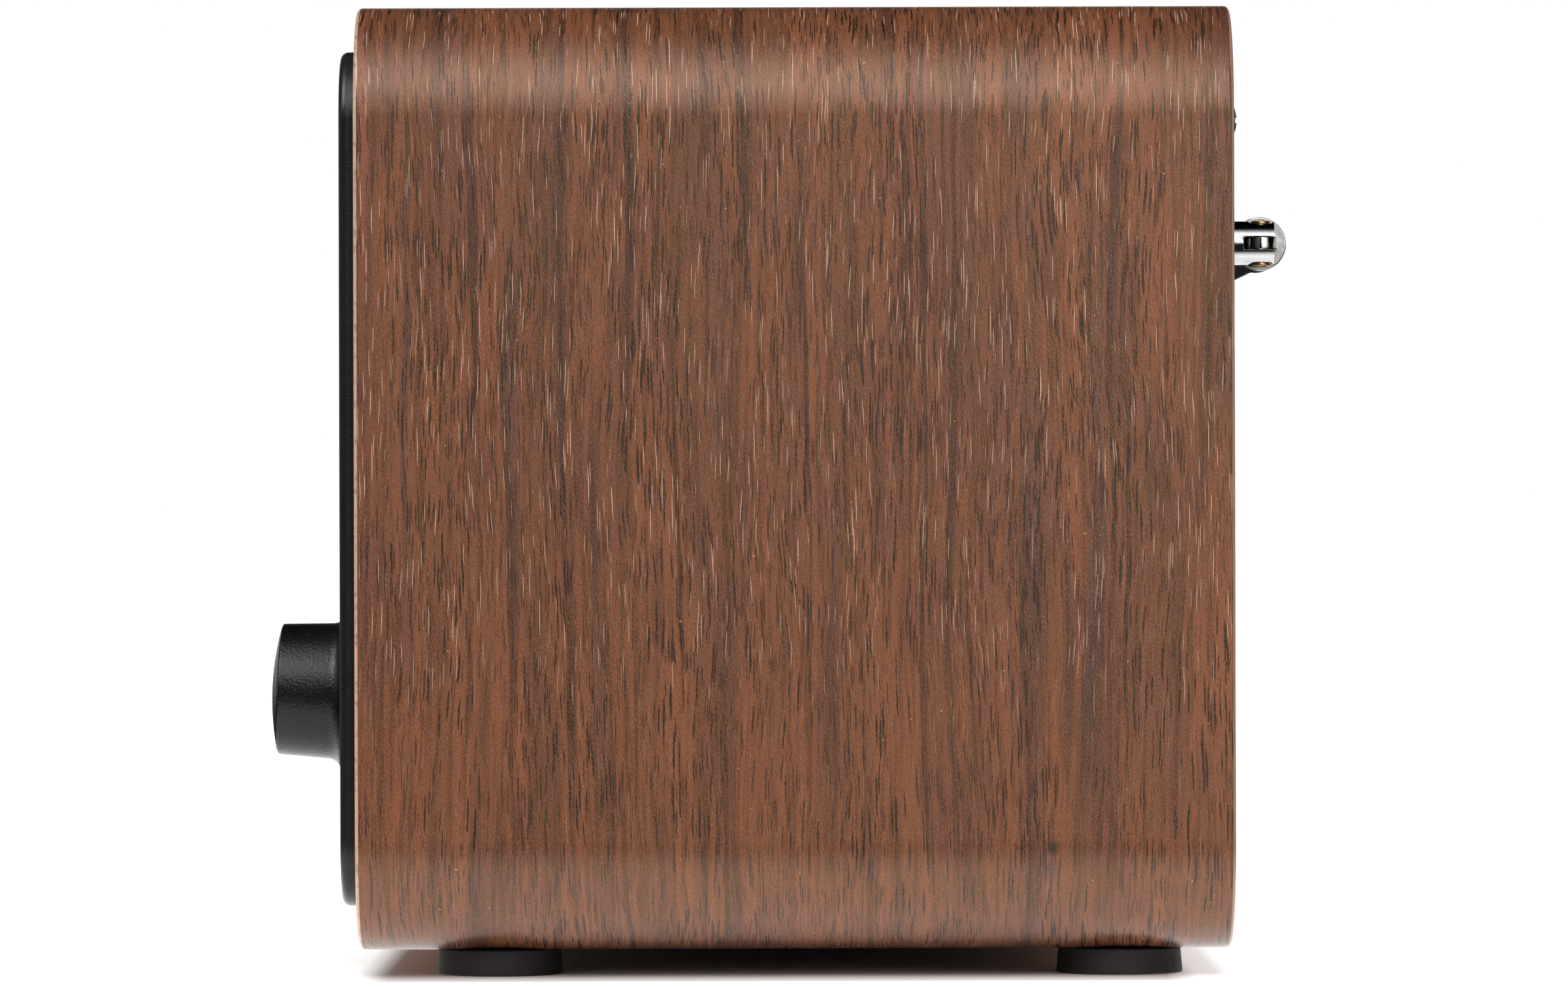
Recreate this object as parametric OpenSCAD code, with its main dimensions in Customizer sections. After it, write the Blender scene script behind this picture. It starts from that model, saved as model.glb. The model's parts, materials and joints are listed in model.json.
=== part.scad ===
// Tabletop radio: wooden sleeve, proud front panel, one knob, telescopic antenna.
// X runs along the width, -Y faces the listener, +Z is up. The origin is on the
// surface it stands on, below the middle of the whole radio. Millimetres.

/* [Cabinet] */
// Width of the wooden sleeve
cabinet_w = 250; // [236:1:320]
// Height of the wooden sleeve
cabinet_h = 146; // [142:1:180]
// Depth of the wooden sleeve
cabinet_d = 135; // [128:1:180]
// Outer radius of the sleeve's corners
corner_r = 17.5; // [14:0.5:24]
// Thickness of the sleeve
wall = 6.5; // [5:0.25:8]
// Rounding of the sleeve's front and rear rims
rim_round = 0.8; // [0.4:0.1:1.5]
// Size of the glued corner blocks along each wall
block_w = 15; // [13:0.5:20]
// Length of the corner blocks from front to back
block_d = 14; // [12:0.5:20]

/* [Front panel] */
// Gap around the front and back panels
panel_gap = 0.3; // [0.15:0.05:0.6]
// Thickness of the front panel
panel_t = 5; // [4:0.25:6]
// How far the front panel stands proud of the sleeve
panel_proud = 2.6; // [1:0.1:3.5]
// Rounding of the front panel's front edge
panel_round = 1.2; // [0.6:0.1:2]
// Depth of the rim behind the front panel
skirt_d = 10; // [8:0.5:12]
// Thickness of the rim behind the front panel
skirt_t = 2.5; // [2:0.1:3.5]
// Distance of the corner screws from the cabinet's outside
panel_screw_in = 15.5; // [14:0.5:18]
// Diameter of the front panel's corner bosses
panel_boss_d = 7; // [6:0.5:8]

/* [Speaker grille] */
// Width of the grille
grille_w = 138; // [110:1:140]
// Height of the grille
grille_h = 112; // [98:1:112]
// Corner radius of the grille
grille_r = 8; // [3:0.5:14]
// Thickness of the grille sheet
grille_t = 0.8; // [0.5:0.1:1.2]
// Margin between the grille and the front panel's left end
grille_margin = 10; // [8:0.5:12]
// Thickness of the cloth behind the grille
cloth_t = 0.6; // [0.3:0.1:1]
// Depth of the grille's face below the panel's face
grille_sink = 0.2; // [0:0.1:0.5]

/* [Speaker] */
// Diameter of the opening behind the grille
sound_d = 78; // [74:0.5:79]
// Width of the speaker's flange around that opening
flange_rim = 7; // [6:0.25:8]
// Thickness of the flange and of the basket's steel
steel_t = 1.2; // [1:0.1:1.6]
// Thickness of the gasket
gasket_t = 1; // [0.8:0.1:2]
// Depth of the basket behind its flange
basket_d = 19; // [17:0.5:24]
// Width of the surround between the cone and the opening
surround_w = 6; // [5:0.25:8]
// Diameter of the cone's neck, where the coil is glued
neck_d = 22; // [20:0.5:24]
// Depth of the paper cone
cone_deep = 14; // [12:0.5:15]
// Diameter of the ring magnet
magnet_d = 62; // [54:1:70]
// Thickness of the ring magnet
magnet_t = 11; // [8:0.5:14]
// Thickness of the top plate and of the yoke's plate
pole_plate_t = 4; // [3:0.25:6]
// Diameter of the pole
pole_d = 18; // [16:0.25:18.5]

/* [Display] */
// Width of the display window
lens_w = 58; // [50:1:58]
// Height of the display window
lens_h = 34; // [28:1:36]
// Thickness of the display window
lens_t = 1.5; // [1:0.1:2]
// Distance from the panel's top to the display window
lens_drop = 10.5; // [10:0.5:13]
// Width of the ledge that carries the window
lens_ledge = 2; // [1.5:0.1:3]
// Depth from the panel's face to the front board
board_deep = 14; // [13:0.5:16]
// Thickness of the circuit boards
board_t = 1.6; // [1:0.1:2]

/* [Buttons] */
// Width of a button
button_w = 22; // [18:0.5:24]
// Height of a button
button_h = 7; // [6:0.25:8]
// Corner radius of a button
button_r = 1.5; // [0.5:0.1:3]
// How far a button stands out of the panel
button_proud = 0.8; // [0.6:0.05:0.9]
// Gap around a button
button_gap = 0.25; // [0.15:0.05:0.4]
// Distance between the two columns of buttons
button_pitch_x = 28; // [27:0.5:30]
// Distance between the two rows of buttons
button_pitch_z = 11.5; // [11:0.25:12.5]
// Travel of a button
button_travel = 0.5; // [0.3:0.05:0.6]

/* [Knob and encoder] */
// Distance from the knob's axis to the cabinet's side
knob_in = 51; // [48:0.5:52]
// Height of the knob's axis above the sleeve's underside
knob_up = 39.2; // [38:0.2:42]
// How far the knob's axis leans upward, in degrees
knob_tilt = 2.4; // [0:0.1:3]
// Diameter of the knob at its front rim
knob_front_d = 20.8; // [18:0.1:21.4]
// Diameter of the knob above its flare
knob_base_d = 21.8; // [21.5:0.1:24]
// Diameter of the knob's flared skirt
knob_skirt_d = 26.4; // [25.5:0.1:28]
// Length of the knob from the panel's face to its rim
knob_l = 11.7; // [10.5:0.1:14]
// Radius of the knob's domed face
knob_dome_r = 44; // [30:1:80]
// Travel of the knob when it is pushed
knob_travel = 0.6; // [0.3:0.05:0.7]
// Depth of the recess under the knob
recess_t = 1.2; // [1:0.1:1.6]
// Diameter of the encoder's threaded bush
bush_d = 7; // [6.8:0.1:8]
// Diameter of the encoder's shaft
shaft_d = 6; // [5:0.1:6]
// Width and height of the encoder's housing
encoder_w = 13; // [13:0.25:15]
// Running clearance of shafts in their bores
run_gap = 0.05; // [0.03:0.01:0.09]

/* [Back panel] */
// Thickness of the back panel
back_t = 3; // [2.5:0.25:4]
// Depth of the back panel's face below the sleeve's rear rim
back_sink = 1; // [0.6:0.1:1.5]
// Distance of the back panel's screws from the cabinet's sides
back_screw_in = 12; // [11.5:0.25:14]
// Distance of the back panel's screws from the cabinet's top and underside
back_screw_drop = 18; // [16:0.5:22]
// Number of ventilation slots
vent_count = 9; // [3:2:11]
// Width of a ventilation slot
vent_w = 3; // [2:0.25:4]
// Height of a ventilation slot
vent_h = 30; // [20:1:32]
// Distance between ventilation slots
vent_pitch = 8; // [7:0.5:9]

/* [Antenna] */
// Distance from the antenna's pivot to the cabinet's side
mast_in = 25; // [24:0.5:30]
// Distance from the cabinet's top to the antenna's axis
mast_drop = 36.6; // [34:0.2:42]
// Distance of the antenna's axis behind the sleeve's rear rim
mast_out = 5.4; // [5.2:0.1:6.5]
// Diameter of the antenna's root
root_d = 8.4; // [8:0.1:9]
// Length of the antenna's root
root_l = 12; // [10:0.5:16]
// Diameter of the forked stud
stud_d = 6.9; // [6.4:0.1:7.2]
// Width of the slot in the forked stud
fork_slot = 2.2; // [2:0.1:2.6]
// Diameter of the hinge pin
pin_d = 2; // [1.8:0.1:2.2]
// Diameter of the outermost tube
mast_d = 7; // [6.8:0.1:7.2]
// Wall of the telescoping tubes
mast_wall = 0.4; // [0.3:0.05:0.4]
// Clearance between one tube and the next
mast_gap = 0.2; // [0.1:0.02:0.2]
// Length of the outermost tube
mast_l = 170; // [140:1:176]
// Length of tube that stays inside when a stage is drawn out
mast_overlap = 18; // [15:1:30]
// How far each tube's end stands out of the one around it
mast_step = 1.2; // [0.6:0.1:2]
// Length of the antenna's tip
tip_l = 6; // [4:0.5:8]

/* [Electronics] */
// Width of the main board
main_w = 120; // [110:1:130]
// Depth of the main board
main_d = 62; // [56:1:66]
// Height of the main board's underside above the cabinet's floor
standoff_h = 13; // [12:0.5:14]
// Bore radius of the 3.5 mm jacks
jack_r = 1.8; // [1.76:0.01:1.85]
// Depth of the bore of the 3.5 mm jacks
jack_bore = 13; // [12.5:0.25:13.5]

/* [Feet] */
// Height of the rubber feet
foot_h = 4; // [3:0.25:6]
// Diameter of a foot where it meets the cabinet
foot_d = 19; // [17:0.5:24]
// How much wider a foot is at the floor, in radius
foot_flare = 0.35; // [0:0.05:0.8]
// Distance of the feet from the cabinet's sides
foot_in = 22; // [20:0.5:30]
// Distance of the front feet from the sleeve's front rim
foot_front = 21.5; // [18:0.5:30]
// Distance of the rear feet from the sleeve's rear rim
foot_rear = 17.1; // [16:0.5:30]

/* [Hidden] */
$fn = 48;
wood = [0.45, 0.29, 0.2];
black = [0.11, 0.11, 0.11];
steel = [0.7, 0.7, 0.68];
chrome = [0.85, 0.85, 0.86];
green = [0.12, 0.33, 0.2];

// Small clearance between faces of pieces that move or that are slipped into each other
slip = 0.1;
// Length by which a cutter reaches past the face that it opens
over = 1;

// Front to back: the whole radio, from the knob's face to the antenna's root, is centred on Y = 0
knob_top = knob_dome_r - sqrt(knob_dome_r * knob_dome_r - knob_front_d * knob_front_d / 4);
knob_tip = knob_l + knob_top;
knob_reach = panel_proud + knob_dome_r - (knob_dome_r - knob_tip) * cos(knob_tilt);
mast_reach = mast_out + root_d / 2;
y_front = (knob_reach - mast_reach - cabinet_d) / 2;
y_back = y_front + cabinet_d;
y_face = y_front - panel_proud;
y_inside = y_face + panel_t;
y_board = y_face + board_deep;
y_back_out = y_back - back_sink;
y_back_in = y_back_out - back_t;
y_mast = y_back + mast_out;

// Side to side
panel_w = cabinet_w - 2 * (wall + panel_gap);
grille_x = grille_margin + (grille_w - panel_w) / 2;
controls_x = cabinet_w / 2 - knob_in;
mast_x = cabinet_w / 2 - mast_in;

// Heights
z_mid = foot_h + cabinet_h / 2;
z_top = foot_h + cabinet_h;
z_floor = foot_h + wall;
inner_r = corner_r - wall;
panel_r = inner_r - panel_gap;
panel_h = cabinet_h - 2 * (wall + panel_gap);
z_knob = foot_h + knob_up;
z_lens = z_mid + panel_h / 2 - lens_drop - lens_h / 2;
z_mast = z_top - mast_drop;

// Speaker: depths are measured back from the front of its flange
y_flange = y_inside + gasket_t;
flange_d = sound_d + 2 * flange_rim;
speaker_pcd = sound_d + flange_rim;
cone_d = sound_d - 2 * surround_w;
basket_ledge_d = cone_d - 12;
ledge_w = 5;
window_w = 24;
cone_front = 0.3;
cone_t = 0.5;
surround_t = 0.5;
coil_wall = 0.5;
spider_t = 0.5;
yoke_y = y_flange + basket_d + steel_t + pole_plate_t + magnet_t;

// Front board and buttons
lens_bottom = z_lens - lens_h / 2;
skirt_top = z_knob + knob_skirt_d / 2;
z_buttons = (lens_bottom + skirt_top) / 2 - 1.5;
switch_w = 6;
switch_t = 3.6;
stem_d = 3.2;
stem_dip = 0.8;
button_flange = 1.2;
frame_edge = 1;
frame_w = lens_w + 2 * frame_edge;
frame_h = lens_h + 2 * frame_edge;
front_board_w = frame_w + 2;
board_notch = 0.5;
board_boss_d = 5;
board_hole_x = front_board_w / 2 - board_boss_d / 2 - 1;
boss_upper_z = (lens_bottom - frame_edge + z_buttons + (button_pitch_z + button_h) / 2 + 1) / 2;
boss_lower_z = z_buttons - (button_pitch_z + button_h) / 2 - board_boss_d / 2 - 1.5;
front_board_top = z_lens + frame_h / 2 + 0.5;
front_board_bottom = boss_lower_z - board_boss_d / 2 - 0.5;

// Knob and encoder: heights are measured out along the tilted axis from the panel's face
lip_low = 0.5;
lip_t = 0.9;
flare_r = (knob_skirt_d - knob_base_d) / 2;
knob_bore_top = knob_l - 1.5;
knob_cavity_d = 17;
knob_cavity_top = 3.4;
boss_low = -panel_t - 1.5;
encoder_t = 8;
encoder_low = boss_low - encoder_t;
rotor_d = 10.4;
rotor_t = 2.4;
rotor_top = boss_low - 1;
shaft_thin_d = 4;
flat_depth = 0.5;
plunger_d = 3.8;
plunger_top = rotor_top - rotor_t - 1.2;
plunger_l = 1.8;
nut_h = 1.8;
nut_across = 10;
bush_top = 2.2;

// Main board
y_main = y_back_in - 0.5 - main_d / 2;
main_x = 20;
z_main = z_floor + standoff_h;
z_parts = z_main + board_t;
post_d = 6;
post_in = 4.5;
jack_w = 11;
jack_len = 15;
jack_x = [-10, 15];
dc_x = 50;
dc_w = 10;
z_jack = z_parts + jack_w / 2;
nose_d = 7.6;
shield_w = 28;
shield_d = 22;
shield_h = 8;
shield_in = 16;
shield_back = 14;
can_d = 10;
can_h = 16;
can_pitch = 14;
can_back = 9;
fin_t = 1.5;
fin_pitch = 4;
fin_l = 12;
fin_h = 14;
fin_base = 2;
dc_nose_d = 8.6;

// Screws
screw_d = 2.6;
screw_head_d = 5.2;
screw_head_t = 2;
small_screw_d = 2;
small_head_d = 3.8;
small_head_t = 1.4;
small_screw_bite = 5;
board_screw_l = 8;
panel_screw_x = cabinet_w / 2 - panel_screw_in;
panel_screw_z = cabinet_h / 2 - panel_screw_in;
back_screw_x = cabinet_w / 2 - back_screw_in;
back_screw_z = cabinet_h / 2 - back_screw_drop;

// Antenna: lengths are measured from the pivot along the mast
fork_reach = 2;
tongue_gap = 0.1;
spot_d = 4.4;
spot_z = stud_d / 2 - 0.5;
root_start = 4.3;
root_socket = 6;
mast_start = root_start + root_l - root_socket;
mast_pitch = 2 * (mast_wall + mast_gap);
sleeve_short = 7;
stud_shank_d = 5;
collar_d = 9.4;
collar_t = 1.4;
stud_nut_t = 2.5;
washer_t = 0.6;
stud_shank_l = back_t + washer_t + stud_nut_t + 1.5;
rest_x = mast_x - mast_start - mast_l + 12;

// ---- shared shapes ----

// Rectangle with rounded corners, centred
module rounded_rect(w, h, r) {
    square([w - 2 * r, h], center = true);
    square([w, h - 2 * r], center = true);
    for (x = [-1, 1], z = [-1, 1]) translate([x * (w / 2 - r), z * (h / 2 - r)]) circle(r);
}

// Plate with a child outline in X and Z, from depth y0 back by t
module plate(x, y0, z, t) {
    translate([x, y0 + t, z]) rotate([90, 0, 0]) linear_extrude(t) children();
}

// Turned piece: child profile of radius against depth, running back along +Y
module turned(x, y0, z) {
    translate([x, y0, z]) rotate([-90, 0, 0]) rotate_extrude() children();
}

// Rod along +Y
module rod(x, y0, z, d, l) {
    translate([x, y0, z]) rotate([-90, 0, 0]) cylinder(d = d, h = l);
}

// Rectangle of radius r1 to r2 and depth a to b, for turned profiles
module band(r1, r2, a, b) {
    translate([r1, a]) square([r2 - r1, b - a]);
}

// Half section of a plate's edge: front rounded by f0, back rounded by f1
module edge_profile(r, t, f0, f1) {
    square([r - f0, t - f1]);
    translate([0, f0]) square([r - f1, t - f0]);
    translate([0, f0]) square([r, t - f0 - f1]);
    if (f0 > 0) translate([r - f0, f0]) circle(f0);
    if (f1 > 0) translate([r - f1, t - f1]) circle(f1);
}

// Slab with rounded corners and rounded front and back edges
module soft_slab(w, h, r, y0, t, f0, f1) {
    translate([0, y0, z_mid]) {
        translate([0, 0, r - h / 2]) linear_extrude(h - 2 * r)
            for (s = [0, 1]) mirror([s, 0]) edge_profile(w / 2, t, f0, f1);
        translate([w / 2 - r, 0, 0]) rotate([0, -90, 0]) linear_extrude(w - 2 * r)
            for (s = [0, 1]) mirror([s, 0]) edge_profile(h / 2, t, f0, f1);
        for (k = [0:3])
            translate([(k % 3 == 0 ? 1 : -1) * (w / 2 - r), 0, (k > 1 ? 1 : -1) * (h / 2 - r)])
                rotate([-90, 0, 0]) rotate([0, 0, 90 * k]) rotate_extrude(angle = 90)
                    edge_profile(r, t, f0, f1);
    }
}

// Frame on the knob's leaning axis, with +Z pointing out of the panel
module on_knob_axis() {
    translate([controls_x, y_face, z_knob]) rotate([90 - knob_tilt, 0, 0]) children();
}

// Frame on the mast, with +Z running from the pivot along the stowed mast
module on_mast() {
    translate([mast_x, y_mast, z_mast]) rotate([0, -90, 0]) children();
}

// Pan-head screw, its head's underside at the origin and its shank along -Z
module pan_screw(d, head_d, head_t, l) {
    translate([0, 0, -l]) cylinder(d = d, h = l);
    difference() {
        intersection() {
            cylinder(d = head_d, h = head_t);
            translate([0, 0, head_t - head_d]) sphere(head_d);
        }
        for (a = [0, 90]) rotate([0, 0, a]) translate([-head_d / 3, -0.4, head_t * 0.45])
            cube([head_d / 1.5, 0.8, head_t]);
    }
}

// Points of a smooth line through the points p, with n steps between each two
function smooth(p, n) = [for (i = [0:len(p) - 2], j = [0:n - 1])
    let (a = p[max(i - 1, 0)], b = p[i], c = p[i + 1], d = p[min(i + 2, len(p) - 1)], t = j / n)
        0.5 * (2 * b + (c - a) * t + (2 * a - 5 * b + 4 * c - d) * t * t
            + (3 * b - a - 3 * c + d) * t * t * t)];
function unit(v) = v / norm(v);
// A side direction for each direction of a line, carried along it without twisting
function carried(dirs, u, i = 0) = i == len(dirs) ? [] :
    let (v = unit(u - (u * dirs[i]) * dirs[i])) concat([v], carried(dirs, v, i + 1));

// Round lead swept along a smoothed line of points
module sweep(points, d) {
    path = concat(smooth(points, 4), [points[len(points) - 1]]);
    last = len(path) - 1;
    sides = 8;
    dirs = [for (i = [0:last]) unit(path[min(i + 1, last)] - path[max(i - 1, 0)])];
    across = carried(dirs, unit(cross(dirs[0], [0.3, 0.2, 1])));
    rings = [for (i = [0:last], k = [0:sides - 1])
        let (a = 360 * k / sides, v = cross(dirs[i], across[i]))
        path[i] + d / 2 * (cos(a) * across[i] + sin(a) * v)];
    walls = [for (i = [0:last - 1], k = [0:sides - 1])
        let (n = (k + 1) % sides)
        [i * sides + k, (i + 1) * sides + k, (i + 1) * sides + n, i * sides + n]];
    first_cap = [for (k = [0:sides - 1]) k];
    last_cap = [for (k = [0:sides - 1]) last * sides + sides - 1 - k];
    polyhedron(rings, concat(walls, [first_cap, last_cap]), convexity = 4);
}

// ---- cabinet ----

module cabinet_shell() {
    color(wood) difference() {
        soft_slab(cabinet_w, cabinet_h, corner_r, y_front, cabinet_d, rim_round, rim_round);
        plate(0, y_front - over, z_mid, cabinet_d + 2 * over)
            rounded_rect(cabinet_w - 2 * wall, cabinet_h - 2 * wall, inner_r);
        at_feet() cylinder(d = screw_d, h = 3 * wall, center = true);
    }
}

// Blocks glued into the sleeve's four corners, from depth y0 back
module corner_blocks(y0, hole_x, hole_z, hole_d) {
    difference() {
        intersection() {
            plate(0, y0, z_mid, block_d)
                rounded_rect(cabinet_w - 2 * wall, cabinet_h - 2 * wall, inner_r);
            for (x = [-1, 1], z = [-1, 1])
                translate([x * (cabinet_w / 2 - wall), y0 + block_d / 2,
                    z_mid + z * (cabinet_h / 2 - wall)])
                    cube([2 * block_w, block_d, 2 * block_w], center = true);
        }
        for (x = [-1, 1], z = [-1, 1])
            rod(x * hole_x, y0 - over, z_mid + z * hole_z, hole_d, block_d + 2 * over);
    }
}

y_front_block = y_inside + skirt_d;
module front_corner_blocks() {
    color(wood) corner_blocks(y_front_block, panel_screw_x, panel_screw_z, screw_d + 0.6);
}

module rear_corner_blocks() {
    color(wood) corner_blocks(y_back_in - block_d, back_screw_x, back_screw_z, screw_d);
}

// ---- front panel and grille ----

module front_panel() {
    hole_w = button_w + 2 * button_gap;
    hole_h = button_h + 2 * button_gap;
    color(black) difference() {
        union() {
            difference() {
                soft_slab(panel_w, panel_h, panel_r, y_face, panel_t + skirt_d, panel_round, 0);
                plate(0, y_inside, z_mid, skirt_d + over)
                    rounded_rect(panel_w - 2 * skirt_t, panel_h - 2 * skirt_t, panel_r - skirt_t);
            }
            for (x = [-1, 1], z = [-1, 1])
                rod(x * panel_screw_x, y_inside, z_mid + z * panel_screw_z, panel_boss_d, skirt_d);
            for (x = [-1, 1], z = [boss_upper_z, boss_lower_z])
                rod(controls_x + x * board_hole_x, y_inside, z, board_boss_d, y_board - y_inside);
            on_knob_axis() translate([0, 0, boss_low]) cylinder(d = encoder_w + 6, h = -boss_low - 2);
        }
        plate(grille_x, y_face - over, z_mid, over + grille_sink + grille_t + cloth_t)
            rounded_rect(grille_w + 2 * slip, grille_h + 2 * slip, grille_r);
        rod(grille_x, y_face - over, z_mid, sound_d, panel_t + 2 * over);
        at_speaker_screws() rod(0, y_inside - 2, 0, screw_d, 2 + over);
        plate(controls_x, y_face - over, z_lens, over + lens_t + slip)
            rounded_rect(lens_w + 2 * slip, lens_h + 2 * slip, button_r);
        plate(controls_x, y_face - over, z_lens, panel_t + 2 * over)
            rounded_rect(lens_w - 2 * lens_ledge, lens_h - 2 * lens_ledge, button_r);
        at_buttons() plate(0, y_face - over, 0, panel_t + 2 * over)
            rounded_rect(hole_w, hole_h, button_r + button_gap);
        on_knob_axis() translate([0, 0, -recess_t]) cylinder(d = knob_skirt_d + 2.4, h = 6);
        on_knob_axis() translate([0, 0, boss_low - over]) cylinder(d = bush_d + 0.4, h = 12);
        for (x = [-1, 1], z = [-1, 1])
            rod(x * panel_screw_x, y_inside, z_mid + z * panel_screw_z, screw_d, skirt_d + over);
        for (x = [-1, 1], z = [boss_upper_z, boss_lower_z])
            rod(controls_x + x * board_hole_x, y_inside + 1, z, small_screw_d, board_deep);
    }
}

module front_panel_screws() {
    color(steel) for (x = [-1, 1], z = [-1, 1])
        translate([x * panel_screw_x, y_front_block + block_d, z_mid + z * panel_screw_z])
            rotate([-90, 0, 0]) pan_screw(screw_d, screw_head_d, screw_head_t, block_d + skirt_d - 1);
}

module speaker_grille() {
    color([0.16, 0.16, 0.17]) plate(grille_x, y_face + grille_sink, z_mid, grille_t)
        rounded_rect(grille_w, grille_h, grille_r - slip);
}

module grille_cloth() {
    color([0.05, 0.05, 0.05]) plate(grille_x, y_face + grille_sink + grille_t, z_mid, cloth_t)
        rounded_rect(grille_w - 1, grille_h - 1, grille_r - 0.5);
}

// ---- speaker ----

// Places children at the four speaker screws; children lie at X = 0, Z = 0
module at_speaker_screws() {
    for (a = [45:90:315])
        translate([grille_x + speaker_pcd / 2 * cos(a), 0, z_mid + speaker_pcd / 2 * sin(a)]) children();
}

module speaker_gasket() {
    color([0.1, 0.1, 0.1]) difference() {
        turned(grille_x, y_inside, z_mid) band(sound_d / 2, flange_d / 2, 0, gasket_t);
        at_speaker_screws() rod(0, y_inside - over, 0, screw_d + 0.4, gasket_t + 2 * over);
    }
}

module speaker_basket() {
    wall_top = sound_d / 2 - 2;
    wall_low = basket_ledge_d / 2;
    window_in = wall_low + 2;
    color([0.25, 0.25, 0.26]) difference() {
        turned(grille_x, y_flange, z_mid) {
            band(wall_top, flange_d / 2, 0, steel_t);
            polygon([[wall_top, 0], [wall_top + steel_t, steel_t], [wall_low + steel_t, basket_d],
                [wall_low, basket_d]]);
            band(wall_low - ledge_w, wall_low + steel_t, basket_d, basket_d + steel_t);
        }
        at_speaker_screws() rod(0, y_flange - over, 0, screw_d + 0.4, steel_t + 2 * over);
        for (a = [0:90:270])
            translate([grille_x, y_flange + basket_d / 2, z_mid]) rotate([0, a, 0])
                translate([window_in, -basket_d / 4, -window_w / 2])
                    cube([flange_d, basket_d / 2, window_w]);
    }
}

module speaker_screws() {
    color(steel) at_speaker_screws() translate([0, y_flange + steel_t, 0])
        rotate([-90, 0, 0]) pan_screw(screw_d, screw_head_d, screw_head_t, steel_t + gasket_t + 2);
}

module speaker_top_plate() {
    color(steel) turned(grille_x, y_flange + basket_d + steel_t, z_mid)
        band(neck_d / 2 + 0.6, magnet_d / 2 - 1, 0, pole_plate_t);
}

module speaker_magnet() {
    color([0.2, 0.2, 0.2]) turned(grille_x, yoke_y - magnet_t, z_mid)
        band(neck_d / 2 + 5, magnet_d / 2, 0, magnet_t);
}

module speaker_yoke() {
    pole_front = y_flange + basket_d + steel_t;
    color(steel) turned(grille_x, pole_front, z_mid) {
        band(0, pole_d / 2, 0, yoke_y - pole_front + pole_plate_t);
        band(0, magnet_d / 2 - 1, yoke_y - pole_front, yoke_y - pole_front + pole_plate_t);
    }
}

module voice_coil() {
    coil_in = neck_d / 2 - coil_wall - slip;
    color([0.6, 0.35, 0.15]) turned(grille_x, y_flange, z_mid)
        band(coil_in, coil_in + coil_wall, cone_deep - 1, basket_d + steel_t + pole_plate_t);
}

// Paper cone, from the surround in to the coil
module speaker_cone() {
    rim = cone_d / 2;
    neck = neck_d / 2;
    color([0.14, 0.13, 0.12]) turned(grille_x, y_flange, z_mid)
        polygon([[rim, cone_front], [rim, cone_front + cone_t], [neck, cone_deep],
            [neck - slip, cone_deep], [neck - slip, cone_deep - cone_t - 1]]);
}

// Half-roll rubber ring between the cone and the flange
module cone_surround() {
    rim = cone_d / 2;
    lip_in = rim - 1;
    roll_end = sound_d / 2 - 3;
    roll_r = (roll_end - rim) / 2;
    color([0.08, 0.08, 0.08]) turned(grille_x, y_flange, z_mid) {
        band(lip_in, rim, -surround_t - 0.1, -0.1);
        band(roll_end, sound_d / 2 - 0.2, -surround_t, 0);
        difference() {
            translate([rim + roll_r, 0]) circle(roll_r + surround_t / 2);
            translate([rim + roll_r, 0]) circle(roll_r - surround_t / 2);
            translate([0, -0.1]) square([sound_d, sound_d]);
        }
    }
}

// Corrugated disc that centres the coil, glued to the basket's ledge
module spider() {
    inner = neck_d / 2 + 0.4;
    outer = basket_ledge_d / 2 - 1;
    level = basket_d - spider_t;
    wave_end = basket_ledge_d / 2 - ledge_w - 1;
    color([0.75, 0.6, 0.35]) turned(grille_x, y_flange, z_mid) {
        band(inner, outer, level, level + spider_t);
        for (r = [inner + 2:3:wave_end]) translate([r, level]) circle(0.6);
    }
}

// Dome glued on the front of the cone, around its neck
module dust_cap() {
    cap_r = neck_d / 2 + 1.5;
    dome_r = 1.4 * cap_r;
    rim = cone_d / 2;
    face_deep = cone_deep - cone_t - 1 - cone_front;
    start = cone_front + face_deep * (rim - cap_r) / (rim - neck_d / 2 + slip) - slip;
    centre = sqrt(dome_r * dome_r - cap_r * cap_r);
    color([0.1, 0.1, 0.1]) turned(grille_x, y_flange + start, z_mid) difference() {
        translate([0, centre]) circle(dome_r);
        translate([0, centre]) circle(dome_r - cone_t);
        translate([-2 * dome_r, -2 * dome_r]) square([2 * dome_r, 4 * dome_r]);
        translate([-over, 0]) square([2 * dome_r, 4 * dome_r]);
    }
}

// ---- display and buttons ----

module display_lens() {
    color([0.08, 0.09, 0.1]) plate(controls_x, y_face + slip, z_lens, lens_t)
        rounded_rect(lens_w, lens_h, button_r - slip);
}

glass_t = 2;
module lcd_glass() {
    color([0.35, 0.4, 0.34]) plate(controls_x, y_inside + slip, z_lens, glass_t)
        square([frame_w - 4, frame_h - 4], center = true);
}

module lcd_frame() {
    color([0.85, 0.85, 0.83]) difference() {
        plate(controls_x, y_inside + slip, z_lens, y_board - y_inside - slip)
            square([frame_w, frame_h], center = true);
        plate(controls_x, y_inside - over, z_lens, over + slip + glass_t)
            square([frame_w - 3.8, frame_h - 3.8], center = true);
        plate(controls_x, y_inside, z_lens, board_deep)
            square([frame_w - 12, frame_h - 12], center = true);
    }
}

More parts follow.
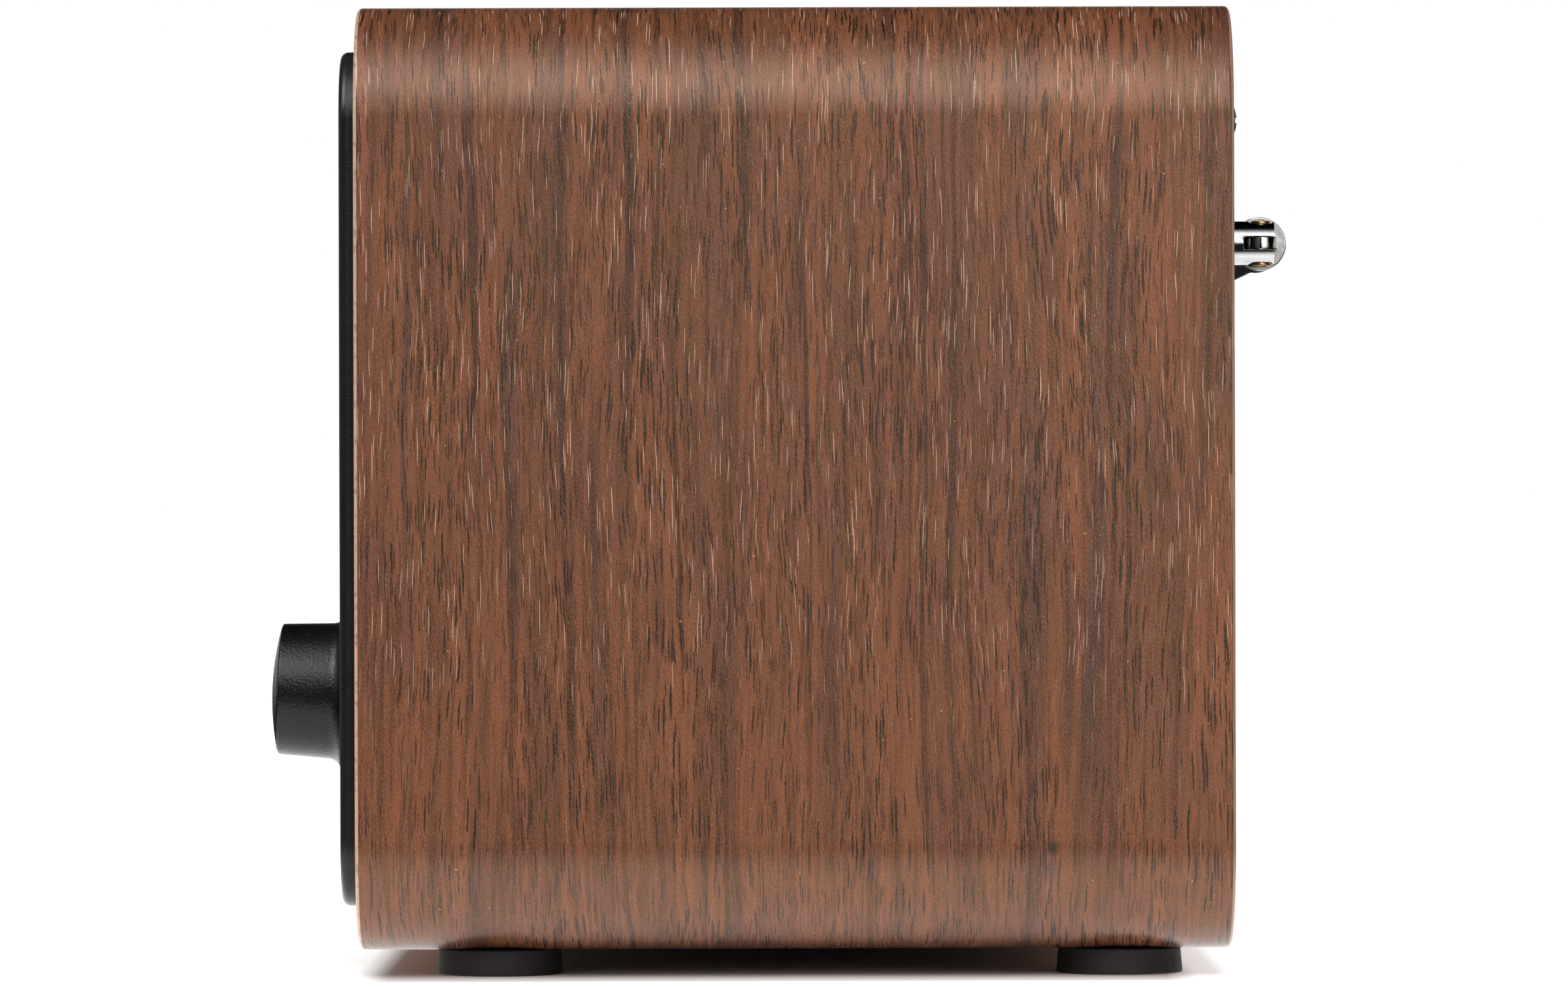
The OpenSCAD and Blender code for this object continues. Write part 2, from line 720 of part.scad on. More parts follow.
module front_board() {
    mid = (front_board_top + front_board_bottom) / 2;
    color(green) difference() {
        plate(controls_x, y_board, mid, board_t)
            square([front_board_w, front_board_top - front_board_bottom], center = true);
        for (x = [-1, 1], z = [boss_upper_z, boss_lower_z])
            rod(controls_x + x * board_hole_x, y_board - over, z, small_screw_d + 0.4, board_t + 2 * over);
        for (z = [-1, 1])
            translate([cabinet_w / 2 - wall, y_board, z_mid + z * (cabinet_h / 2 - wall)])
                cube([2 * (block_w + board_notch), 3 * board_t, 2 * (block_w + board_notch)], center = true);
    }
}

module front_board_screws() {
    color(steel) for (x = [-1, 1], z = [boss_upper_z, boss_lower_z])
        translate([controls_x + x * board_hole_x, y_board + board_t, z])
            rotate([-90, 0, 0])
                pan_screw(small_screw_d, small_head_d, small_head_t, board_t + small_screw_bite);
}

// Places children at the four buttons, left to right and top to bottom
function button_place(n) = [
    controls_x + (n % 2 == 0 ? -0.5 : 0.5) * button_pitch_x, 0,
    z_buttons + (n < 2 ? 0.5 : -0.5) * button_pitch_z
];
module at_buttons() {
    for (n = [0:3]) translate(button_place(n)) children();
}

module switch_bodies() {
    color([0.2, 0.2, 0.21]) at_buttons() difference() {
        translate([-switch_w / 2, y_board - switch_t, -switch_w / 2]) cube([switch_w, switch_t, switch_w]);
        rod(0, y_board - switch_t - over, 0, stem_d + 0.4, over + stem_dip + button_travel + 0.5);
    }
}

// Button with a flange behind the panel and a stem into its switch
module button(n) {
    cap_back = panel_t + slip;
    color(black) translate(button_place(n)) {
        plate(0, y_face - button_proud, 0, button_proud + cap_back)
            rounded_rect(button_w, button_h, button_r);
        plate(0, y_face + cap_back, 0, button_flange)
            rounded_rect(button_w + 1.6, button_h + 1.6, button_r);
        rod(0, y_face + cap_back, 0, stem_d, y_board - switch_t + stem_dip - y_face - cap_back);
    }
}
module button_1() button(0);
module button_2() button(1);
module button_3() button(2);
module button_4() button(3);

// ---- knob and encoder ----

module tuning_knob() {
    face_cut = knob_tip - knob_dome_r;
    color(black) on_knob_axis() difference() {
        union() {
            intersection() {
                translate([0, 0, lip_low]) cylinder(d1 = knob_base_d, d2 = knob_front_d,
                    h = knob_l - lip_low);
                rotate_extrude() band(0, knob_skirt_d, 0, knob_l);
            }
            intersection() {
                translate([0, 0, knob_l]) cylinder(d = knob_front_d, h = knob_top);
                translate([0, 0, face_cut]) sphere(knob_dome_r, $fn = 96);
            }
            rotate_extrude() difference() {
                band(0, knob_skirt_d / 2, lip_low, lip_low + lip_t + flare_r);
                translate([knob_skirt_d / 2, lip_low + lip_t + flare_r]) circle(flare_r);
            }
        }
        translate([0, 0, lip_low - over]) cylinder(d = knob_cavity_d, h = knob_cavity_top - lip_low + over);
        translate([0, 0, lip_low]) d_rod(shaft_d + 2 * slip, knob_bore_top + slip - lip_low);
    }
}

// Rod with one flat, standing at the origin
module d_rod(d, h) {
    difference() {
        cylinder(d = d, h = h);
        translate([-d, d / 2 - flat_depth, -over]) cube([2 * d, d, h + 2 * over]);
    }
}

module encoder_housing() {
    color([0.3, 0.3, 0.31]) on_knob_axis() difference() {
        union() {
            translate([-encoder_w / 2, -encoder_w / 2, encoder_low])
                cube([encoder_w, encoder_w, encoder_t]);
            translate([0, 0, boss_low]) cylinder(d = bush_d, h = bush_top - boss_low);
        }
        translate([0, 0, rotor_top + 0.5]) cylinder(d = shaft_d + 2 * run_gap, h = 20);
        translate([0, 0, rotor_top - rotor_t - 0.4]) cylinder(d = rotor_d + 0.4, h = rotor_t + 1);
        translate([0, 0, plunger_top - plunger_l - knob_travel - 0.4])
            cylinder(d = plunger_d + 0.4, h = plunger_l + 3);
    }
}

module encoder_nut() {
    color(steel) on_knob_axis() translate([0, 0, -recess_t]) difference() {
        cylinder(d = nut_across / cos(30), h = nut_h, $fn = 6);
        translate([0, 0, -over]) cylinder(d = bush_d + 0.02, h = nut_h + 2 * over);
    }
}

module encoder_shaft() {
    step = rotor_top + 0.8 + knob_travel;
    color(steel) on_knob_axis() {
        translate([0, 0, step]) cylinder(d = shaft_d, h = lip_low - step);
        translate([0, 0, lip_low]) cylinder(d = shaft_d - 0.2, h = knob_cavity_top - lip_low);
        translate([0, 0, knob_cavity_top]) d_rod(shaft_d, knob_bore_top - knob_cavity_top);
        translate([0, 0, plunger_top]) d_rod(shaft_thin_d, step - plunger_top);
    }
}

module encoder_rotor() {
    color([0.9, 0.88, 0.8]) on_knob_axis() translate([0, 0, rotor_top - rotor_t]) difference() {
        cylinder(d = rotor_d, h = rotor_t);
        translate([0, 0, -over]) d_rod(shaft_thin_d + 2 * slip, rotor_t + 2 * over);
    }
}

module encoder_plunger() {
    color([0.8, 0.2, 0.15]) on_knob_axis() translate([0, 0, plunger_top - plunger_l])
        cylinder(d = plunger_d, h = plunger_l);
}

module encoder_board() {
    color(green) on_knob_axis() translate([0, 0, encoder_low - board_t / 2])
        cube([encoder_w + 5, encoder_w + 5, board_t], center = true);
}

// ---- main board and jacks ----

module at_posts() {
    for (x = [-1, 1], y = [-1, 1])
        translate([main_x + x * (main_w / 2 - post_in), y_main + y * (main_d / 2 - post_in), 0]) children();
}

module main_board() {
    color(green) difference() {
        translate([main_x - main_w / 2, y_main - main_d / 2, z_main]) cube([main_w, main_d, board_t]);
        at_posts() translate([0, 0, z_main - over]) cylinder(d = screw_d + 0.4, h = board_t + 2 * over);
    }
}

module board_standoffs() {
    color([0.8, 0.8, 0.76]) at_posts() difference() {
        translate([0, 0, z_floor]) cylinder(d = post_d, h = standoff_h);
        translate([0, 0, z_main - 8]) cylinder(d = screw_d, h = 8 + over);
    }
}

module board_screws() {
    color(steel) at_posts() translate([0, 0, z_parts])
        pan_screw(screw_d, screw_head_d, screw_head_t, board_screw_l);
}

module tuner_shield() {
    color(chrome) translate([main_x + main_w / 2 - shield_in - shield_w, y_main - main_d / 2 + shield_back,
        z_parts]) cube([shield_w, shield_d, shield_h]);
}

module capacitors() {
    color([0.15, 0.2, 0.35]) for (n = [0:2])
        translate([main_x - main_w / 2 + (n + 1) * can_pitch, y_main - main_d / 2 + can_back, z_parts])
            cylinder(d = can_d, h = can_h);
}

module heatsink() {
    fins = 6;
    length = (fins - 1) * fin_pitch + fin_t;
    color([0.6, 0.6, 0.6]) translate([main_x - length / 2, y_main - fin_l / 3, z_parts]) {
        cube([length, fin_l, fin_base]);
        for (n = [0:fins - 1]) translate([n * fin_pitch, 0, 0]) cube([fin_t, fin_l, fin_h]);
    }
}

// Jack body on the board with a round nose through the back panel
module jack_body(x, w, nose, bore_r, bore_l) {
    y_nose = y_back_out;
    y_body = y_back_in - slip;
    difference() {
        union() {
            translate([x - w / 2, y_body - jack_len, z_parts]) cube([w, jack_len, jack_w]);
            rod(x, y_body - 1, z_jack, nose, y_nose - y_body + 1);
        }
        rod(x, y_nose - bore_l, z_jack, 2 * bore_r, bore_l + over);
    }
}

module audio_jacks() {
    color(black) for (x = jack_x) jack_body(x, jack_w, nose_d, jack_r, jack_bore);
}

module dc_jack() {
    inlet_d = 6;
    inlet_l = 10;
    color(black) jack_body(dc_x, dc_w, dc_nose_d, inlet_d / 2, inlet_l);
    color(steel) rod(dc_x, y_back_out - inlet_l - over, z_jack, 2, inlet_l);
}

// ---- back panel ----

module back_panel() {
    z_vents = z_mid + 8;
    color([0.09, 0.09, 0.09]) difference() {
        union() {
            plate(0, y_back_in, z_mid, back_t) rounded_rect(panel_w, panel_h, panel_r);
            antenna_rest();
        }
        for (x = [-1, 1], z = [-1, 1])
            rod(x * back_screw_x, y_back_in - over, z_mid + z * back_screw_z,
                screw_d + 0.4, back_t + 2 * over);
        for (n = [0:vent_count - 1])
            plate((n - (vent_count - 1) / 2) * vent_pitch, y_back_in - over, z_vents, back_t + 2 * over)
                rounded_rect(vent_w, vent_h, vent_w / 2 - 0.01);
        for (x = jack_x) rod(x, y_back_in - over, z_jack, nose_d + 2 * slip, back_t + 2 * over);
        rod(dc_x, y_back_in - over, z_jack, dc_nose_d + 2 * slip, back_t + 2 * over);
        rod(mast_x, y_back_in - over, z_mast, stud_shank_d + 2 * run_gap, back_t + 2 * over);
    }
}

// Ledge under the far end of the stowed antenna
module antenna_rest() {
    rest_w = 10;
    rest_t = 2.5;
    reach = y_mast + 2.5 - y_back_out;
    z_rest = z_mast - mast_d / 2 - 0.3 - rest_t;
    translate([rest_x - rest_w / 2, y_back_out - back_t / 2, z_rest])
        cube([rest_w, reach + back_t / 2, rest_t]);
}

module back_panel_screws() {
    color([0.15, 0.15, 0.15]) for (x = [-1, 1], z = [-1, 1])
        translate([x * back_screw_x, y_back_out, z_mid + z * back_screw_z])
            rotate([-90, 0, 0]) pan_screw(screw_d, screw_head_d, screw_head_t, back_t + block_d - 3);
}

// ---- antenna ----

module antenna_stud() {
    color(chrome) difference() {
        union() {
            rod(mast_x, y_back_out - stud_shank_l, z_mast, stud_shank_d, stud_shank_l + over);
            rod(mast_x, y_back_out + slip, z_mast, collar_d, collar_t);
            rod(mast_x, y_back_out + slip, z_mast, stud_d, y_mast + fork_reach - y_back_out - slip);
        }
        translate([mast_x - stud_d, y_mast - fork_reach - 0.9, z_mast - fork_slot / 2])
            cube([2 * stud_d, stud_d + 3, fork_slot]);
        translate([mast_x, y_mast, z_mast]) cylinder(d = pin_d, h = 2 * stud_d, center = true);
        for (s = [0, 1]) mirror([0, 0, s]) translate([mast_x, y_mast, (s == 0 ? z_mast : -z_mast) + spot_z])
            cylinder(d = spot_d, h = stud_d);
    }
}

module antenna_washer() {
    color(steel) turned(mast_x, y_back_in - slip - washer_t, z_mast)
        band(stud_shank_d / 2, stud_shank_d, 0, washer_t);
}

module antenna_nut() {
    color(steel) translate([mast_x, y_back_in - slip - washer_t, z_mast]) rotate([90, 0, 0]) difference() {
        cylinder(d = 8 / cos(30), h = stud_nut_t, $fn = 6);
        translate([0, 0, -over]) cylinder(d = stud_shank_d, h = stud_nut_t + 2 * over);
    }
}

module antenna_root() {
    tongue_t = fork_slot - 2 * tongue_gap;
    tongue_r = 2.6;
    color(chrome) difference() {
        union() {
            translate([mast_x, y_mast, z_mast]) cylinder(r = tongue_r, h = tongue_t, center = true);
            on_mast() translate([-tongue_t / 2, -tongue_r, 0])
                cube([tongue_t, 2 * tongue_r, root_start + 1]);
            on_mast() translate([0, 0, root_start]) cylinder(d = root_d, h = root_l);
        }
        translate([mast_x, y_mast, z_mast]) cylinder(d = pin_d + 2 * run_gap, h = 2 * stud_d, center = true);
        on_mast() translate([0, 0, mast_start]) cylinder(d = mast_d, h = root_l);
    }
}

module hinge_pin() {
    head_t = 0.5;
    reach = spot_z;
    color([0.75, 0.6, 0.35]) translate([mast_x, y_mast, z_mast]) {
        cylinder(d = pin_d, h = 2 * reach, center = true);
        for (s = [-1, 1]) translate([0, 0, s * (reach + head_t / 2)])
            cylinder(d = pin_d * 1.5, h = head_t, center = true);
    }
}

// Tube of the mast, numbered from the outermost; the innermost carries the tip.
// Each inner tube has a friction sleeve at its tail, which never leaves the tube around it.
module mast(n) {
    outer = mast_d - n * mast_pitch;
    tail = mast_start + (n == 0 ? 0 : 1 + n);
    nose = mast_start + mast_l + n * mast_step;
    color(chrome) on_mast() difference() {
        union() {
            translate([0, 0, tail]) cylinder(d = outer, h = nose - tail);
            if (n > 0) translate([0, 0, tail])
                cylinder(d = outer + mast_gap, h = mast_overlap - sleeve_short);
        }
        if (n < 4) translate([0, 0, tail + (n == 0 ? 0.8 : -over)])
            cylinder(d = outer - 2 * mast_wall, h = mast_l + 2 * n + 2 * over);
    }
}
module mast_1() mast(0);
module mast_2() mast(1);
module mast_3() mast(2);
module mast_4() mast(3);
module mast_5() {
    nose = mast_start + mast_l + 4 * mast_step;
    mast(4);
    color(chrome) on_mast() translate([0, 0, nose]) intersection() {
        cylinder(d = mast_d, h = tip_l);
        translate([0, 0, tip_l - mast_d * 0.7]) sphere(d = 1.4 * mast_d);
    }
}

// ---- leads ----

module speaker_leads() {
    start = [grille_x + 30, y_flange + basket_d + 4, z_mid + 15];
    goal = [main_x - main_w / 2 + 8, y_main - 8, z_parts + 1.2];
    lead_d = 1.4;
    spread = 2;
    color([0.7, 0.1, 0.1]) for (n = [0, 1]) {
        side = [spread * n, 0, -spread * n];
        sweep([start + side, start + side + [16, 10, 0], [grille_x + 52, 8, 70] + side,
            [grille_x + 40, goal.y - 6, 48] + side, goal + [spread * n, 0, 12],
            goal + [spread * n, 0, 0]], lead_d);
    }
}

module display_ribbon() {
    ribbon_w = 12;
    y0 = y_board + board_t;
    drop = z_buttons - z_parts - 1;
    reach = y_main - main_d / 2 + 6 - y0;
    color([0.8, 0.8, 0.78]) translate([controls_x - 25 - ribbon_w / 2, y0, 0]) {
        translate([0, 0, z_buttons]) cube([ribbon_w, 12, 0.6]);
        translate([0, 12, z_buttons - drop + 6]) cube([ribbon_w, 0.6, drop - 5.4]);
        translate([0, 12, z_buttons - drop + 6]) cube([ribbon_w, reach - 12, 0.6]);
        translate([0, reach - 0.6, z_parts]) cube([ribbon_w, 0.6, 7.6]);
    }
}

module antenna_lead() {
    start = [mast_x, y_back_out - stud_shank_l - slip, z_mast];
    goal = [main_x + main_w / 2 - 14, y_main - main_d / 2 + shield_back + 6, z_parts + 1];
    color([0.15, 0.15, 0.15]) sweep([start, start - [0, 3, 0], start - [0, 6, 0],
        [mast_x - 8, start.y - 22, 80], [mast_x - 20, goal.y + 6, 55], goal + [0, 0, 12], goal], 1.6);
}

// ---- feet ----

// Places children on the sleeve's underside at the four feet
module at_feet() {
    for (x = [-1, 1], y = [y_front + foot_front, y_back - foot_rear])
        translate([x * (cabinet_w / 2 - foot_in), y, foot_h]) children();
}

foot_recess_d = 8;
foot_recess = 2.4;
module feet() {
    color([0.07, 0.07, 0.07]) at_feet() difference() {
        translate([0, 0, -foot_h]) cylinder(d1 = foot_d + 2 * foot_flare, d2 = foot_d, h = foot_h);
        translate([0, 0, -foot_h - over]) cylinder(d = foot_recess_d, h = foot_recess + over);
        cylinder(d = screw_d + 0.4, h = 3 * foot_h, center = true);
    }
}

module foot_screws() {
    color(steel) at_feet() translate([0, 0, foot_recess - foot_h])
        rotate([180, 0, 0])
            pan_screw(screw_d, screw_head_d, foot_recess - 0.8, foot_h - foot_recess + wall - 1);
}

cabinet_shell();
front_corner_blocks();
rear_corner_blocks();
front_panel();
front_panel_screws();
speaker_grille();
grille_cloth();
speaker_basket();
speaker_gasket();
speaker_screws();
speaker_top_plate();
speaker_magnet();
speaker_yoke();
voice_coil();
speaker_cone();
cone_surround();
spider();
dust_cap();
display_lens();
lcd_glass();
lcd_frame();
front_board();
front_board_screws();
switch_bodies();
button_1();
button_2();
button_3();
button_4();
encoder_housing();
encoder_nut();
encoder_shaft();
encoder_rotor();
encoder_plunger();
encoder_board();
tuning_knob();
main_board();
board_standoffs();
board_screws();
tuner_shield();
capacitors();
heatsink();
dc_jack();
audio_jacks();
back_panel();
back_panel_screws();
antenna_stud();
antenna_washer();
antenna_nut();
antenna_root();
hinge_pin();
mast_1();
mast_2();
mast_3();
mast_4();
mast_5();
speaker_leads();
display_ribbon();
antenna_lead();
feet();
foot_screws();
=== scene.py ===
import json
import math

import bmesh
import bpy
from mathutils import Matrix, Vector


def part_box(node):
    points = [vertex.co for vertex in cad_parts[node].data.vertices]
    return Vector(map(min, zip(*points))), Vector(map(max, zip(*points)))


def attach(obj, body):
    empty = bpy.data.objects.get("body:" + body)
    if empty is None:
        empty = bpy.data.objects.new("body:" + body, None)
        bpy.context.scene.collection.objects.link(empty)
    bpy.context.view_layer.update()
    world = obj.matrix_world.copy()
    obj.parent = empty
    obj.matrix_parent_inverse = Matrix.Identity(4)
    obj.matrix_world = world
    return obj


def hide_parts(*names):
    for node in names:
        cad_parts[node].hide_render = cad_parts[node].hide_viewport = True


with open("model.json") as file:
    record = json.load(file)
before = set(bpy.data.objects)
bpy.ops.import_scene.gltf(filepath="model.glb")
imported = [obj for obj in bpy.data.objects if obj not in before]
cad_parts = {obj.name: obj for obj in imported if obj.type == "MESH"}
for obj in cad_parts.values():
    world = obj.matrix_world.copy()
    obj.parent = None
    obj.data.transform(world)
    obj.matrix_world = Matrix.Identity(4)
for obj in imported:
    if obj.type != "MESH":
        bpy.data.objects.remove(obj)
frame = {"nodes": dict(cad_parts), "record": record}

bpy.context.view_layer.update()

MM = 0.001
TURN = 2 * math.pi
QUARTER = TURN / 4

# How far faces turn at an edge that shades sharp, at one on a rounder piece, and at one that is cut round
EDGE_TURN, BOLD_TURN, HARD_TURN = math.radians(30), math.radians(40), math.radians(50)


# ---- where things are ----

SHELL_LOW, SHELL_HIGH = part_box("cabinet_shell")
PANEL_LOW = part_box("front_panel")[0]
BACK_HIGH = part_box("back_panel")[1]
MIDDLE = (SHELL_LOW + SHELL_HIGH) / 2
KNOB_TILT = math.radians(2.4)
KNOB_HEIGHT = 43.2 * MM
CORNER, PANEL_CORNER = 17.5 * MM, 10.7 * MM

# Where the back panel's outer face lies, a little inside the sleeve's rear rim
BACK_FACE = SHELL_HIGH.y - MM

# Radius of the heads of the front panel's, the front board's and the back panel's screws
PANEL_SCREW, BOARD_SCREW, BACK_SCREW = 2.6 * MM, 2 * MM, 2.6 * MM

# The foil's map runs from front to back, and round the outside from below the middle of the cabinet
SIDE_START = (SHELL_HIGH.x - SHELL_LOW.x) / 2 - CORNER + CORNER * QUARTER


def middle_of(node):
    low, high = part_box(node)
    return (low + high) / 2


def moved(x, y, z):
    return Matrix.Translation((x, y, z))


def facing_front(x, y, z):
    """A frame whose Z axis points out of the front and whose Y axis points up."""
    return moved(x, y, z) @ Matrix.Rotation(QUARTER, 4, "X")


def add_object(name, data):
    made = bpy.data.objects.new(name, data)
    bpy.context.scene.collection.objects.link(made)
    return made


def front_of(node):
    """The frame in the middle of a node's front, with the node's width, height and depth."""
    low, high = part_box(node)
    wide, deep, tall = high - low
    middle = middle_of(node)
    return facing_front(middle.x, low.y, middle.z), wide, tall, deep


# The knob's axis leaves the panel's face at this point, and leans up by the tilt
KNOB_AXIS = (
    moved(middle_of("encoder_shaft").x, PANEL_LOW.y, KNOB_HEIGHT)
    @ Matrix.Rotation(QUARTER - KNOB_TILT, 4, "X")
)


# ---- camera ----

def set_camera():
    """A long lens level with the middle of the cabinet's right side."""
    away, behind_front, height = 1.280, 65.9 * MM, 75.2 * MM
    roll = math.radians(-0.16)
    data = bpy.data.cameras.new("camera")
    data.sensor_width = 36
    data.lens = 192
    data.shift_y = -0.0026
    camera = add_object("camera", data)
    place = moved(SHELL_HIGH.x + away, SHELL_LOW.y + behind_front, height)
    level = Matrix.Rotation(QUARTER, 4, "Z") @ Matrix.Rotation(QUARTER, 4, "X")
    camera.matrix_world = place @ level @ Matrix.Rotation(roll, 4, "Z")
    bpy.context.scene.camera = camera


# ---- node trees ----

class Tree:
    """Adds nodes to one node tree and joins them."""

    def __init__(self, tree):
        self.tree = tree

    def feed(self, socket, value):
        if isinstance(value, bpy.types.Node):
            value = value.outputs[0]
        if isinstance(value, bpy.types.NodeSocket):
            self.tree.links.new(value, socket)
        else:
            socket.default_value = value

    def node(self, kind, sockets=None, **settings):
        node = self.tree.nodes.new("ShaderNode" + kind)
        for name, value in settings.items():
            setattr(node, name, value)
        for name, value in (sockets or {}).items():
            self.feed(node.inputs[name], value)
        return node

    def give(self, node, **sockets):
        """Feeds a node's inputs by their names in lower case with underscores."""
        for name, value in sockets.items():
            title = name.replace("_", " ").title().replace("Ior", "IOR")
            self.feed(node.inputs[title], value)

    def group(self, effect, **sockets):
        """Places an effect, and returns its outputs."""
        node = self.node("Group", node_tree=effect)
        self.give(node, **sockets)
        return node.outputs

    def place(self):
        return self.node("TexCoord").outputs["Object"]

    def stretch(self, vector, scale, turn=(0, 0, 0)):
        return self.node("Mapping", {"Vector": vector, "Rotation": turn, "Scale": scale})

    def noise(self, scale=1.0, detail=2.0, roughness=0.5, at=None):
        sockets = {"Vector": at or self.place(), "Scale": scale, "Detail": detail, "Roughness": roughness}
        return self.node("TexNoise", sockets).outputs["Fac"]

    def math(self, operation, first, second=0.0):
        node = self.node("Math", operation=operation)
        self.feed(node.inputs[0], first)
        self.feed(node.inputs[1], second)
        return node.outputs[0]

    def plus(self, first, second):
        return self.math("ADD", first, second)

    def minus(self, first, second):
        return self.math("SUBTRACT", first, second)

    def times(self, first, second):
        return self.math("MULTIPLY", first, second)

    def length(self, first, second):
        """The length of a step from its two parts at right angles."""
        return self.math("SQRT", self.plus(self.times(first, first), self.times(second, second)))

    def span(self, value, low, high, to_low=0.0, to_high=1.0):
        sockets = {"Value": value, "From Min": low, "From Max": high, "To Min": to_low, "To Max": to_high}
        return self.node("MapRange", sockets).outputs["Result"]

    def rise(self, value, low, high):
        """Eases from 0 at low to 1 at high; where high is the lower of the two it falls instead."""
        if high < low:
            return self.minus(1.0, self.rise(value, high, low))
        sockets = {"Value": value, "From Min": low, "From Max": high}
        return self.node("MapRange", sockets, interpolation_type="SMOOTHSTEP").outputs["Result"]

    def within(self, value, start, full, fading, end):
        """1 between full and fading, and eased to 0 at start and at end."""
        return self.times(self.rise(value, start, full), self.rise(value, end, fading))

    def blend(self, factor, first, second):
        node = self.node("Mix", data_type="RGBA")
        self.feed(node.inputs["Factor"], factor)
        self.feed(node.inputs[6], first)
        self.feed(node.inputs[7], second)
        return node.outputs[2]

    def part(self, vector, axis):
        return self.node("SeparateXYZ", {"Vector": vector}).outputs[axis]

    def bump(self, height, distance, normal=None):
        sockets = {"Height": height, "Distance": distance}
        if normal is not None:
            sockets["Normal"] = normal
        return self.node("Bump", sockets).outputs[0]


def paint(red, green, blue):
    """A colour from its eight-bit screen values."""
    def linear(value):
        value /= 255
        return value / 12.92 if value <= 0.04045 else ((value + 0.055) / 1.055) ** 2.4
    return (linear(red), linear(green), linear(blue), 1.0)


def grey(value):
    return paint(value, value, value)


def shade_of(colour):
    return paint(*colour) if isinstance(colour, tuple) else grey(colour)


# ---- effects that several finishes share ----

def start_effect(name, inputs, outputs):
    """Opens a node group whose inputs and outputs are numbers."""
    tree = bpy.data.node_groups.new(name, "ShaderNodeTree")
    for title, value in inputs.items():
        socket = tree.interface.new_socket(title, in_out="INPUT", socket_type="NodeSocketFloat")
        socket.default_value = value
    for title in outputs:
        tree.interface.new_socket(title, in_out="OUTPUT", socket_type="NodeSocketFloat")
    return Tree(tree), tree.nodes.new("NodeGroupInput").outputs, tree.nodes.new("NodeGroupOutput").inputs


def moulded_grain():
    """The fine pebbled skin of moulded plastic, painted metal and rubber."""
    work, given, made = start_effect("Moulded Grain", {"Scale": 3000.0}, ("Height", "Tone"))
    pebbles = work.node("TexVoronoi", {"Vector": work.place(), "Scale": given["Scale"]}).outputs["Distance"]
    cloud = work.noise(given["Scale"], 3.0, 0.6)
    work.feed(made["Height"], work.plus(work.times(pebbles, 0.6), work.times(cloud, 0.7)))
    work.feed(made["Tone"], work.span(cloud, 0.3, 0.7))
    return work.tree


def handling_marks():
    """Soft smudges and a few hairlines that change how a surface shines."""
    inputs = {"Scale": 40.0, "Low": 0.3, "High": 0.4}
    work, given, made = start_effect("Handling Marks", inputs, ("Roughness", "Mask"))
    smudge = work.span(work.noise(given["Scale"], 4.0, 0.6), 0.35, 0.68)
    hair_place = work.stretch(work.place(), (1.0, 14.0, 5.0), (0.4, 0.7, 0.2))
    hair = work.span(work.noise(given["Scale"], 2.0, 0.4, hair_place), 0.66, 0.72)
    mask = work.math("MAXIMUM", smudge, hair)
    work.feed(made["Roughness"], work.span(mask, 0.0, 1.0, given["Low"], given["High"]))
    work.feed(made["Mask"], mask)
    return work.tree


def rubbed_edges():
    """Marks the outer edges that hands and cloths have polished."""
    work, given, made = start_effect("Rubbed Edges", {"Amount": 0.5, "Scale": 300.0}, ("Mask",))
    sharp = work.span(work.node("NewGeometry").outputs["Pointiness"], 0.52, 0.60)
    patchy = work.span(work.noise(given["Scale"], 4.0, 0.7), 0.35, 0.62)
    work.feed(made["Mask"], work.times(work.times(sharp, patchy), given["Amount"]))
    return work.tree


def settled_dust():
    """Pale specks and a faint film on faces that look up."""
    work, given, made = start_effect("Settled Dust", {"Amount": 0.3, "Scale": 900.0}, ("Mask",))
    up = work.part(work.node("NewGeometry").outputs["Normal"], "Z")
    lying = work.span(up, 0.2, 0.95)
    film = work.span(work.noise(30.0, 4.0, 0.6), 0.35, 0.75, 0.0, 0.5)
    specks = work.span(work.noise(given["Scale"], 1.0, 0.5), 0.70, 0.78)
    mask = work.times(work.math("MAXIMUM", film, specks), lying)
    work.feed(made["Mask"], work.times(mask, given["Amount"]))
    return work.tree


def tool_lines():
    """Fine parallel lines left by rolling, drawing or turning, along one axis of the piece."""
    inputs = {"Along X": 30.0, "Along Y": 30.0, "Along Z": 4000.0}
    work, given, made = start_effect("Tool Lines", inputs, ("Height", "Tone"))
    scale = work.node("CombineXYZ", {"X": given["Along X"], "Y": given["Along Y"], "Z": given["Along Z"]})
    lines = work.noise(1.0, 3.0, 0.6, work.stretch(work.place(), scale))
    work.feed(made["Height"], lines)
    work.feed(made["Tone"], work.span(lines, 0.25, 0.75))
    return work.tree


def woven_threads():
    """A plain weave of round threads across X and Z."""
    work, given, made = start_effect("Woven Threads", {"Pitch": 2600.0}, ("Height", "Gap"))
    waves = []
    for axis, shift in (("X", 0.0), ("Z", QUARTER)):
        turn = work.times(work.part(work.place(), axis), given["Pitch"])
        waves.append(work.math("SINE", work.plus(turn, shift)))
    over = work.times(waves[0], waves[1])
    fray = work.noise(9000.0, 2.0)
    height = work.plus(work.math("ABSOLUTE", over), work.times(fray, 0.3))
    work.feed(made["Height"], height)
    work.feed(made["Gap"], work.span(work.math("ABSOLUTE", over), 0.0, 0.35, 1.0, 0.0))
    return work.tree


GRAIN = moulded_grain()
MARKS = handling_marks()
RUBBED = rubbed_edges()
DUST = settled_dust()
LINES = tool_lines()
WEAVE = woven_threads()


# ---- finishes ----

# Every material that is made, by its name
FINISHES = {}


def start_finish(name):
    material = bpy.data.materials.new(name)
    material.use_nodes = True
    FINISHES[name] = material
    return Tree(material.node_tree), material.node_tree.nodes["Principled BSDF"]


